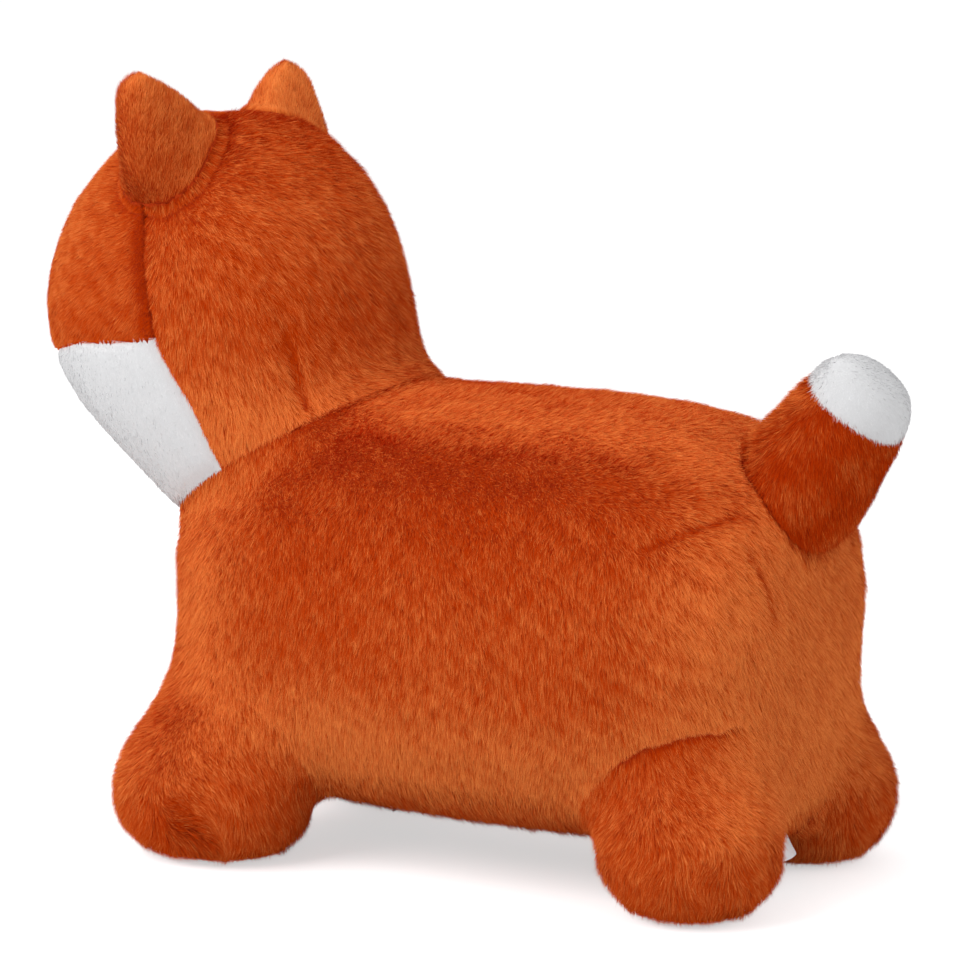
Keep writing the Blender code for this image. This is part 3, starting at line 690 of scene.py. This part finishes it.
# Belly zip
# Two woven tapes are sewn to the edges of the belly opening, with moulded plastic teeth, a
# metal stop at each end, and a metal slider whose short pull hangs from a pin.
tape_cloth = textured("tape_cloth", "Wave", size=0.0022, dark=(0.36, 0.050, 0.006),
                      light=(0.55, 0.110, 0.018), roughness=0.8, relief=0.00012,
                      stretch=(0.35, 1.0, 1.0))
sewing_thread = textured("sewing_thread", "Wave", size=0.0009, dark=(0.42, 0.060, 0.008),
                         light=(0.66, 0.150, 0.028), roughness=0.6, relief=0.0001,
                         stretch=(1.0, 2.0, 1.0))
tooth_plastic = textured("tooth_plastic", "Noise", size=0.0010, dark=(0.46, 0.080, 0.012),
                         light=(0.56, 0.120, 0.020), roughness=0.35, relief=0.00005)
zip_metal = textured("zip_metal", "Noise", size=0.0004, dark=(0.50, 0.49, 0.47),
                     light=(0.66, 0.65, 0.62), roughness=0.28, relief=0.00002, metallic=1.0,
                     stretch=(1.0, 0.12, 1.0))
for name in ("zip_teeth_left", "zip_teeth_right"):
    finished(name, tooth_plastic)
for name in ("zip_stop_front", "zip_stop_rear", "zip_slider", "zip_pull"):
    finished(name, zip_metal)


def sewn_line(name, path, thickness, thread):
    """A line of stitches, one from each point of the path nearly to the next."""
    bm = bmesh.new()
    for start, end in zip(path, path[1:]):
        start, end = Vector(start), Vector(end)
        turn = (end - start).to_track_quat("X", "Z")
        span = (end - start).length
        for vert in bmesh.ops.create_uvsphere(bm, u_segments=8, v_segments=5,
                                              radius=1.0)["verts"]:
            stitch = Vector((vert.co.x * span * 0.42, vert.co.y * thickness,
                             vert.co.z * thickness))
            vert.co = turn @ stitch + (start + end) / 2
    made = piece_of(name, bm)
    made.data.shade_smooth()
    made.data.materials.append(thread)
    return made


stitch_pitch = 0.003
cord_width, cord_rise, tape_wave = 0.0012, 0.0002, 0.00015
for name in ("zip_tape_left", "zip_tape_right"):
    low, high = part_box(name)
    middle = (low + high) / 2
    inner = min((low.x, high.x), key=abs)
    bpy.ops.object.select_all(action="DESELECT")
    bpy.ops.mesh.primitive_grid_add(x_subdivisions=14, y_subdivisions=180, size=1.0,
                                    location=middle)
    tape = bpy.context.object
    tape.name = name + "_cloth"
    tape.scale = (high.x - low.x, high.y - low.y, 1.0)
    bpy.ops.object.transform_apply(location=True, rotation=True, scale=True)
    for vert in tape.data.vertices:
        # A tape has a thicker cord along its inner edge, and lies a little wavy beside it.
        from_cord = abs(vert.co.x - inner)
        vert.co.z += tape_wave * math.sin(vert.co.y * 420.0 + 3.0 * math.sin(vert.co.y * 61.0))
        vert.co.z -= cord_rise * math.exp(-(from_cord / cord_width) ** 2)
    shaped(tape, "woven", "SOLIDIFY", thickness=0.0006, offset=0.0)
    tape.data.shade_smooth()
    tape.data.materials.append(tape_cloth)
    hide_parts(name)
    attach(tape, "body")

    # A row of stitches holds each tape to the cover's edge.
    outer = max((low.x, high.x), key=abs)
    stitches = [(outer * 0.84, low.y + stitch_pitch * (step + 0.5), middle.z - 0.00045)
                for step in range(int((high.y - low.y) / stitch_pitch))]
    row = sewn_line(name + "_stitches", stitches, 0.00035, sewing_thread)
    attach(row, "body")


# Care label
# A blank loop of white satin ribbon, folded in half. Both ends are sewn into the belly seam
# between the hind legs, and the fold hangs down and curls back.
label_low, label_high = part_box("care_label")
label_satin = textured("label_satin", "Wave", size=0.0007, dark=(0.84, 0.84, 0.86),
                       light=(0.90, 0.90, 0.92), roughness=0.35, relief=0.00003)
label_satin.node_tree.nodes["Principled BSDF"].inputs["Sheen Weight"].default_value = 0.2
hang = label_high.z - label_low.z

# Side view of the front layer: share of the drop, and how far it has curled back there.
curl = [(0.0, 0.0), (0.15, 0.0010), (0.35, 0.0030), (0.60, 0.0062), (0.82, 0.0098),
        (0.95, 0.0126)]
top_y = label_low.y - 0.0135
loop = [(top_y + back, label_high.z - down * hang) for down, back in curl]
fold = (loop[-1][0] + 0.0012, label_low.z + 0.0003)
loop += [fold] + [(y + 0.0016, z + 0.0004) for y, z in reversed(loop)]
bm = bmesh.new()
rows = []
strips = 10
for y, z in loop:
    across = [label_low.x + (label_high.x - label_low.x) * k / strips for k in range(strips + 1)]
    rows.append([bm.verts.new((x, y + 0.0012 * math.cos(x * 170.0), z)) for x in across])
for upper, lower in zip(rows, rows[1:]):
    for k in range(strips):
        bm.faces.new((upper[k], lower[k], lower[k + 1], upper[k + 1]))
ribbon = piece_of("care_label_ribbon", bm)
shaped(ribbon, "finer", "SUBSURF", levels=2)
shaped(ribbon, "satin", "SOLIDIFY", thickness=0.0003, offset=0.0)
ribbon.data.shade_smooth()
ribbon.data.materials.append(label_satin)
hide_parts("care_label")
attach(ribbon, "body")


# Plush pile
# Short dense faux fur, about 8 mm long and dyed in the fibre. It hangs down the flanks,
# lies flat along the crest of the back, and is pressed short in the seams. Each tuft of
# fibres is one slim blade. Its map holds across it the tuft's tone with painted light and
# shade, and along it a darkening from tip to root, which is painted shade deep in the pile.
def plush(name, deep, pale):
    """Root, middle and tip colours of the deepest and of the palest tufts."""
    made, tree, shader = new_material(name, pale[1], 0.9)
    shader.inputs["Specular IOR Level"].default_value = 0.01
    shader.inputs["Sheen Weight"].default_value = 0.02
    shader.inputs["Sheen Roughness"].default_value = 0.5
    shader.inputs["Sheen Tint"].default_value = (*pale[2], 1.0)
    blade_map = tree.nodes.new("ShaderNodeUVMap")
    blade_map.uv_map = "OFBake"
    parts = tree.nodes.new("ShaderNodeSeparateXYZ")
    tree.links.new(blade_map.outputs["UV"], parts.inputs[0])
    paler = tree.nodes.new("ShaderNodeMath")
    paler.operation = "POWER"
    paler.inputs[1].default_value = 2.0
    mixed = tree.nodes.new("ShaderNodeMix")
    mixed.data_type = "RGBA"
    tree.links.new(parts.outputs["X"], paler.inputs[0])
    tree.links.new(paler.outputs[0], mixed.inputs["Factor"])
    for socket, colours in (("A", deep), ("B", pale)):
        along = tree.nodes.new("ShaderNodeValToRGB")
        along.color_ramp.elements.new(0.5)
        for element, place_in_ramp, colour in zip(along.color_ramp.elements, (0.0, 0.45, 1.0),
                                                  colours):
            element.position = place_in_ramp
            element.color = (*colour, 1.0)
        tree.links.new(parts.outputs["Y"], along.inputs["Fac"])
        tree.links.new(along.outputs["Color"], mixed.inputs[socket])
    tree.links.new(mixed.outputs["Result"], shader.inputs["Base Color"])
    return made


# The roots are painted darker than the tips, as shade deep in the pile, whose blades cast no
# shadows.
orange_plush = plush("orange_plush",
                     [(0.28, 0.014, 0.0005), (0.49, 0.036, 0.0008), (0.61, 0.062, 0.0015)],
                     [(0.58, 0.100, 0.012), (0.82, 0.215, 0.042), (0.94, 0.335, 0.090)])
white_plush = plush("white_plush",
                    [(0.66, 0.66, 0.67), (0.70, 0.70, 0.71), (0.72, 0.72, 0.73)],
                    [(0.71, 0.71, 0.72), (0.74, 0.74, 0.75), (0.76, 0.76, 0.77)])

chance = np.random.default_rng(7)


def waves(at, size, seed):
    """A smooth random field over the cloth, mostly from -1 to 1, with patches this long."""
    draw = np.random.default_rng(seed)
    total = np.zeros(len(at))
    for _term in range(7):
        way = draw.normal(size=3)
        way *= draw.uniform(0.7, 1.4) * 2.0 * math.pi / size / np.linalg.norm(way)
        total += np.sin(at @ way + draw.uniform(0.0, 2.0 * math.pi))
    return total / 7.0 ** 0.5


# Tufts are sown evenly over the cloth, thicker on the white panels and thinner on all that
# faces down.
tufts = 1590000
thicker, thinner = 1.5, 0.45
first, second, third = (points[corners[:, k]] for k in range(3))
turned = np.cross(second - first, third - first)
double_area = np.maximum(np.linalg.norm(turned, axis=1), tiny)
thick = np.isin(face_panel, [panel_names.index(name) for name in white_panels])
sown = np.cumsum(double_area * np.where(face_normals[:, 2] < -0.6, thinner,
                                        np.where(thick, thicker, 1.0)))
face = np.searchsorted(sown, chance.uniform(0.0, sown[-1], tufts)).clip(0, len(corners) - 1)
u, v = chance.uniform(size=(2, tufts))
over = u + v > 1.0
u[over], v[over] = 1.0 - u[over], 1.0 - v[over]
weight = np.stack([1.0 - u - v, u, v], axis=1)
mine = corners[face]


def at_roots(values):
    """Values at the cloth's points, carried to the tufts' roots."""
    if values.ndim == 1:
        return sum(weight[:, k] * values[mine[:, k]] for k in range(3))
    return sum(weight[:, k, None] * values[mine[:, k]] for k in range(3))


root = at_roots(points)
normal = unit(at_roots(relaxed(normals, np.full(count, 0.5), 4)))
broadly = unit(at_roots(relaxed(normals, np.full(count, 0.5), 30)))
seams = {name: at_roots(values) for name, values in join.items()}
panel = panel_at(root, at_roots(reach), seams, normal)
on_head = np.isin(panel, head_panels)

# Seams and creases are looked for half way up the pile, where the outer face of the solids is.
outside = root + normal * 0.0042
press = drawn_in(outside, seams, on_head)


def is_panel(*names):
    return np.isin(panel, [panel_names.index(name) for name in names])


white = is_panel(*white_panels)
ears = is_panel("ear_left", "ear_right", "lining_left", "lining_right")
on_tail = is_panel("tail", "tail_tip")
limb = panel >= panel_names.index("leg_front_left")  # legs and soles come last
paw = limb * (1.0 - ramp(root[:, 2], 0.030, 0.065))

# The way the pile lies: down the flanks, legs and tail, a little back, and up the ears. It
# strays in patches and tuft by tuft, and turns round a whirl on the left front paw.
paw_whirl, whirl_size, whirl_turn = (0.1420, -0.1180, 0.0330), 0.017, 2.4
lie = np.zeros((tufts, 3))
lie[:] = (0.0, 0.22, -1.0)
lie[:, 1] += 0.9 * np.clip(normal[:, 2], 0.0, 1.0)
lie[on_tail] = tail_way * 0.3 + np.array((0.0, 0.1, -0.9))
lie[ears] = (0.0, 0.1, 1.0)
lie[is_panel("head_brow")] = (0.0, -0.45, -1.0)
turn = 0.20 * waves(root, 0.16, 11) + 0.12 * waves(root, 0.035, 12)
turn += 0.11 * waves(root, 0.0065, 16) + 0.5 * paw * waves(root, 0.034, 13)
whirl = np.linalg.norm(root - np.array(paw_whirl), axis=1)
turn += whirl_turn * np.exp(-(whirl / whirl_size) ** 2)
turn += chance.normal(0.0, 1.0, tufts) * np.where(white, 0.25, 0.13)
flat = unit(lie - normal * (lie * normal).sum(axis=1, keepdims=True))
flat = (flat * np.cos(turn)[:, None]
        + unit(np.cross(normal, lie)) * np.sin(turn)[:, None])

# How far each tuft stands up from the cloth, in radians, and how long it is.
shortest_fibre, longest_fibre = 0.0020, 0.0115
lift = lift_of(broadly) + 0.05 * waves(root, 0.020, 14) + 0.05 * waves(root, 0.0052, 17)
lift += chance.normal(0.0, 0.11, tufts) + 0.25 * press
lift -= 0.12 * is_panel("head_brow") + 0.30 * white
length = at_roots(fibre_at) * (1.0 + 0.08 * waves(root, 0.030, 15)
                               + chance.normal(0.0, 0.12, tufts)) * (1.0 - 0.35 * press)

# A tuft that would lie across a seam is cut short and stands up beside it instead. How the
# distance to each seam changes along the cloth tells which tufts would.
seam_zone, bare_width, shortest_cut = 0.012, 0.0006, 0.40
slope = {}
for name, values in join.items():
    total = np.zeros((len(corners), 3))
    for k in range(3):
        opposite = points[corners[:, (k + 2) % 3]] - points[corners[:, (k + 1) % 3]]
        total += (values[corners[:, k], None] * np.cross(turned, opposite)
                  / double_area[:, None] ** 2)
    slope[name] = total
way = flat * np.cos(lift)[:, None] + normal * np.sin(lift)[:, None]
stop = np.ones(tufts)
bare = np.zeros(tufts, bool)
for name, values in seams.items():
    if name in front_legs:
        continue
    gain = (slope[name][face] * way).sum(axis=1) * length
    crosses = (np.abs(values) < seam_zone) & (values * (values + gain) < 0.0)
    crosses &= seam_fade(name, root) > chance.uniform(0.0, 0.9, tufts)
    cut = np.maximum(np.abs(values) / np.maximum(np.abs(gain), 1e-6),
                     0.7 if name == "neck" else 0.0)
    stop = np.where(crosses, np.minimum(stop, cut), stop)
    bare |= (np.abs(values) < bare_width) & (seam_fade(name, root) > 0.6) & (name != "neck")
for path, depth in creases:
    bare |= to_path(outside, path) < 0.0009 * depth
crosses = on_head & (head_panel(root + way * length[:, None]) + 1 != panel)
from_face_seam = to_path(root[:, 1:], face_seam)
near_seam = np.minimum(np.minimum(from_face_seam, to_path(root[:, 1:], cheek_seam)),
                       to_path(root[:, 1:], throat_seam))
stop = np.where(crosses, np.minimum(stop, near_seam / length), stop)
bare |= on_head & (from_face_seam < 0.0008)
length *= np.clip(stop, shortest_cut, 1.0)
lift += 0.45 * (1.0 - np.clip(stop, 0.0, 1.0))
lift = np.clip(lift, np.where(white, 0.15, 0.22), np.where(white, 0.7, 1.45))
length = np.clip(length, shortest_fibre, longest_fibre)
way = flat * np.cos(lift)[:, None] + normal * np.sin(lift)[:, None]
tip = root + way * length[:, None]
tip_floor, blade_floor = 0.0004, 0.0003
tip[:, 2] = np.maximum(tip[:, 2], tip_floor)

# No pile grows over the zip, or where the eyes and the nose are bedded.
zip_half_width, zip_top = 0.0185, 0.045
in_zip = ((np.abs(root[:, 0]) < zip_half_width) & (root[:, 2] < zip_top)
          & (np.abs(root[:, 1] - slot_middle_y) < slot_length / 2 + 0.0005))
beds = np.zeros(tufts, bool)
for name in ("eye_left", "eye_right", "nose"):
    low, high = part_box(name)
    middle, half = (low + high) / 2, (high - low) / 2
    beds |= ((((root[:, 0] - middle.x) / half.x) ** 2 + ((root[:, 2] - middle.z) / half.z) ** 2
              < 1.0) & (root[:, 1] < high.y + 0.012))
keep = ~(in_zip | beds | bare)

# Shades run from 0 to 1, the tufts' tone together with painted light and shade. Painted
# shade deepens the saddle, and painted light makes paler the crest of the back, what faces
# up or forward, the chest and the rump. The lower flank and the head's lower side are paler.
up = broadly[:, 2]
rearward, height = root[:, 1], root[:, 2]
trunk = is_panel("trunk")
short_haired = is_panel("head_brow", "ear_left", "ear_right")
tone_and_painted_light = 0.37 - 0.04 * limb + 0.06 * waves(root, 0.11, 21) + 0.09 * waves(root, 0.012, 22)
# Painted light makes the tufts paler where the cloth faces up, and more where it faces forward.
tone_and_painted_light += (0.09 * waves(root, 0.0055, 23) * (1.0 - 0.6 * short_haired)
          + 0.10 * ramp(up, 0.05, 0.50))
tone_and_painted_light += 0.26 * ramp(-broadly[:, 1], 0.15, 0.85)
# Painted light makes the chest and the rump paler; the lower flank is paler too.
low_flank = 0.48 * (1.0 - ramp(height, 0.080, 0.150)) * np.where(limb, 0.0, 1.0)
behind = np.where(limb, 0.40 * ramp(rearward, 0.205, 0.235),
                  0.56 * ramp(rearward, 0.150, 0.235))
chest = np.where(limb, 0.24, 0.50) * (1.0 - ramp(rearward, -0.130, -0.060))
tone_and_painted_light += (trunk | limb) * ramp(height, 0.035, 0.070) * (low_flank + behind + chest)
# Near their seams the legs get painted light as well: the front legs above the paws, the hind
# legs at the rear.
for name in front_legs + hind_legs:
    front = name in front_legs
    where = ramp(height, 0.050, 0.085) if front else ramp(rearward, 0.195, 0.225)
    tone_and_painted_light += (0.36 if front else 0.24) * (panel == panel_names.index(name)) * (
        1.0 - ramp(np.abs(seams[name]), 0.002, 0.030)) * where
# Painted shade darkens the whirl on the left front paw.
tone_and_painted_light -= 0.20 * np.exp(-(whirl / 0.016) ** 2)
# Painted light on the crest of the back, and painted shade on the saddle below it.
tone_and_painted_light += trunk * (0.58 * ramp(up, 0.72, 0.97)
                  - 0.14 * ramp(up, 0.05, 0.40) * (1.0 - ramp(up, 0.65, 0.90)))
tone_and_painted_light += is_panel("head_back") * 0.55 * (1.0 - ramp(height, 0.260, 0.330))
tone_and_painted_light += is_panel("ear_left", "ear_right") * 0.23
tone_and_painted_light = np.minimum(tone_and_painted_light, 0.92)

# Single tufts differ, painted shade darkens pressed tufts and creases, and the tail is patched
# and gets painted light on its upper side.
tone_and_painted_light += chance.normal(0.0, 1.0, tufts) * np.where(short_haired, 0.17, 0.31) - 0.40 * press
tone_and_painted_light += is_panel("ear_right") * 0.20
tone_and_painted_light -= is_panel("tail") * (0.26 - 0.20 * waves(root, 0.026, 24) - 0.30 * ramp(up, 0.30, 0.85))
for path, depth in creases:
    tone_and_painted_light -= 0.6 * depth * np.exp(-(to_path(outside, path) / 0.0020) ** 2)
tone_and_painted_light = np.clip(tone_and_painted_light, 0.02, 0.98)
tip_shade = 0.98 - 0.56 * is_panel("tail") * np.clip(
    np.abs(chance.normal(0.0, 0.8, tufts)), 0.0, 1.0)

# Blades lie broadside to the cloth, and are lit as the cloth is where they lie flat on it.
narrowest, widest, white_wider = 0.00016, 0.00029, 1.8
side = unit(np.cross(way, normal + chance.normal(0.0, 0.45, (tufts, 3))))
half_width = chance.uniform(narrowest, widest, tufts) * np.where(white, white_wider, 1.0)
half_width = side * half_width[:, None]
broad = unit(np.cross(side, way))
broad *= np.sign((broad * normal).sum(axis=1, keepdims=True))
flatness = (broad * normal).sum(axis=1, keepdims=True) ** 1.5
facing = unit(normal * flatness + broad * (1.0 - 0.75 * flatness))
facing[white] = unit(facing[white] + 5.0 * normal[white])
root_depth, shade_step = 0.0005, 0.012


def pile(name, chosen, material):
    """One mesh of blades, each a triangle from a root of some width to its tip."""
    total = len(chosen)
    sunk = root[chosen] - normal[chosen] * root_depth
    blades = np.stack([sunk - half_width[chosen], sunk + half_width[chosen], tip[chosen]], axis=1)
    across = np.cross(blades[:, 1] - blades[:, 0], blades[:, 2] - blades[:, 0])
    inward = (across * normal[chosen]).sum(axis=1) < 0.0
    blades[inward] = blades[inward][:, [1, 0, 2]]
    blades[:, :, 2] = np.maximum(blades[:, :, 2], blade_floor)
    mesh = bpy.data.meshes.new(name)
    mesh.vertices.add(total * 3)
    mesh.vertices.foreach_set("co", blades.astype(np.float32).ravel())
    mesh.loops.add(total * 3)
    mesh.loops.foreach_set("vertex_index", np.arange(total * 3, dtype=np.int32))
    mesh.polygons.add(total)
    mesh.polygons.foreach_set("loop_start", np.arange(0, total * 3, 3, dtype=np.int32))
    mesh.update(calc_edges=True)
    low, high = np.full(total, 0.02), tip_shade[chosen]
    blade_map = np.stack([np.stack([tone_and_painted_light[chosen] - shade_step, low], axis=1),
                          np.stack([tone_and_painted_light[chosen] + shade_step, low], axis=1),
                          np.stack([tone_and_painted_light[chosen], high], axis=1)], axis=1)
    layer = mesh.uv_layers.new(name="OFBake")
    layer.uv.foreach_set("vector", blade_map.astype(np.float32).ravel())
    mesh.shade_smooth()
    lit_as = mesh.attributes.new("custom_normal", "FLOAT_VECTOR", "POINT")
    lit_as.data.foreach_set("vector",
                            np.repeat(facing[chosen], 3, axis=0).astype(np.float32).ravel())
    mesh.materials.append(material)
    made = added(name, mesh)
    made.visible_shadow = False
    made.visible_diffuse = material is orange_plush
    return made


for number, name in enumerate(panel_names):
    here = (panel == number) & keep
    left = root[:, 0] > 0.0
    if name == "trunk":
        fore, rear = root[:, 1] < -0.03, root[:, 1] > 0.10
        parts = {"left_fore": left & fore, "left_middle": left & ~fore & ~rear,
                 "left_rear": left & rear, "right_fore": ~left & fore,
                 "right_middle": ~left & ~fore & ~rear, "right_rear": ~left & rear}
    elif name.startswith("head_"):
        parts = {"left": left, "right": ~left}
    else:
        parts = {"all": here}
    for part, inside in parts.items():
        label = name + "_pile" + ("" if part == "all" else "_" + part)
        fur = pile(label, np.flatnonzero(here & inside),
                   white_plush if name in white_panels else orange_plush)
        carried(fur, name)


# Eyes and nose
# Safety eyes and a safety nose of polished black plastic, pushed through the cloth and
# locked behind it. They are moulded domes with a thin lip that beds in the pile.
black_plastic, tree, shader = new_material("black_plastic", (0.005, 0.004, 0.004), 0.12)
shader.inputs["Specular IOR Level"].default_value = 0.28
place = tree.nodes.new("ShaderNodeTexCoord")
scuffs = tree.nodes.new("ShaderNodeTexNoise")
scuffs.inputs["Scale"].default_value = 240.0
scuffs.inputs["Detail"].default_value = 5.0
gloss = tree.nodes.new("ShaderNodeMapRange")
gloss.inputs["To Min"].default_value = 0.07
gloss.inputs["To Max"].default_value = 0.20
tree.links.new(place.outputs["Object"], scuffs.inputs["Vector"])
tree.links.new(scuffs.outputs["Fac"], gloss.inputs["Value"])
tree.links.new(gloss.outputs["Result"], shader.inputs["Roughness"])

bulge, dome_set_back = 0.0075, 0.0084
lip_half_width = 0.0011
nostril_out, nostril_down, nostril_depth, nostril_width = 0.0045, 0.0035, 0.0022, 0.0020
for name in ("eye_left", "eye_right", "nose"):
    low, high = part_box(name)
    middle = Vector(((low.x + high.x) / 2, low.y + dome_set_back, (low.z + high.z) / 2))
    bpy.ops.object.select_all(action="DESELECT")
    bpy.ops.mesh.primitive_uv_sphere_add(segments=48, ring_count=28, radius=bulge,
                                         location=middle, rotation=(math.pi / 2, 0.0, 0.0))
    dome = bpy.context.object
    dome.name = name + "_dome"
    bpy.ops.object.transform_apply(location=True, rotation=True, scale=True)
    wide, tall = (high.x - low.x) / (2.0 * bulge), (high.z - low.z) / (2.0 * bulge)
    bpy.ops.object.mode_set(mode="EDIT")
    bpy.ops.mesh.select_all(action="SELECT")
    bpy.ops.transform.resize(value=(wide, 1.0, tall), center_override=middle)
    bpy.ops.object.mode_set(mode="OBJECT")
    for vert in dome.data.vertices:
        spread = 1.10 if abs(vert.co.y - middle.y) < lip_half_width else 1.0
        vert.co.x = middle.x + (vert.co.x - middle.x) * spread
        vert.co.z = middle.z + (vert.co.z - middle.z) * spread
        if name == "nose":
            # The nose is wider above than below, and has two shallow nostrils.
            height = (vert.co.z - middle.z) / (high.z - low.z)
            vert.co.x = middle.x + (vert.co.x - middle.x) * (1.0 + 0.45 * height)
            for side in (-1.0, 1.0):
                nostril = Vector((middle.x + side * nostril_out, middle.z - nostril_down))
                near = (Vector((vert.co.x, vert.co.z)) - nostril).length
                if vert.co.y < middle.y:
                    vert.co.y += nostril_depth * math.exp(-(near / nostril_width) ** 2)
    dome.data.shade_smooth()
    dome.data.materials.append(black_plastic)
    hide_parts(name)
    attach(dome, "body")


# Mouth
# A small smile of black thread, sewn through the muzzle's cloth under the nose. Its stitches
# lie on the pile.
black_thread = textured("black_thread", "Wave", size=0.0006, dark=(0.010, 0.009, 0.009),
                        light=(0.030, 0.028, 0.028), roughness=0.55, relief=0.00005)
muzzle_faces = face_panel == panel_names.index("muzzle")
muzzle_surface = BVHTree.FromPolygons(points.tolist(), corners[muzzle_faces].tolist())
under_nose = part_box("nose")[0].z


def on_muzzle(x, z):
    """The place in front of the muzzle's cloth, just above the pile, at this x and z."""
    place, way_out, _index, _distance = muzzle_surface.ray_cast(Vector((x, -0.4, z)),
                                                                Vector((0.0, 1.0, 0.0)))
    return tuple(place + way_out * 0.0017)


# A short line drops from the nose, and the smile curves out, down and up again from it.
drop_step, drop_length = 0.0012, 0.0048
smile_width, smile_dip, smile_rise = 0.0105, 0.0042, 0.0062
smile_turns = (0.0, 0.12, 0.30, 0.50, 0.72, 0.95, 1.20, 1.50)
drop = [on_muzzle(0.0, under_nose - drop_step * k) for k in range(5)]
for name, half in (("mouth_left", 1.0), ("mouth_right", -1.0)):
    smile = [on_muzzle(half * smile_width * math.sin(turn),
                       under_nose - drop_length - smile_dip * math.sin(turn) ** 0.8
                       + smile_rise * (1.0 - math.cos(turn))) for turn in smile_turns]
    sewn = sewn_line(name, (drop if half > 0.0 else []) + smile, 0.00055, black_thread)
    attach(sewn, "body")
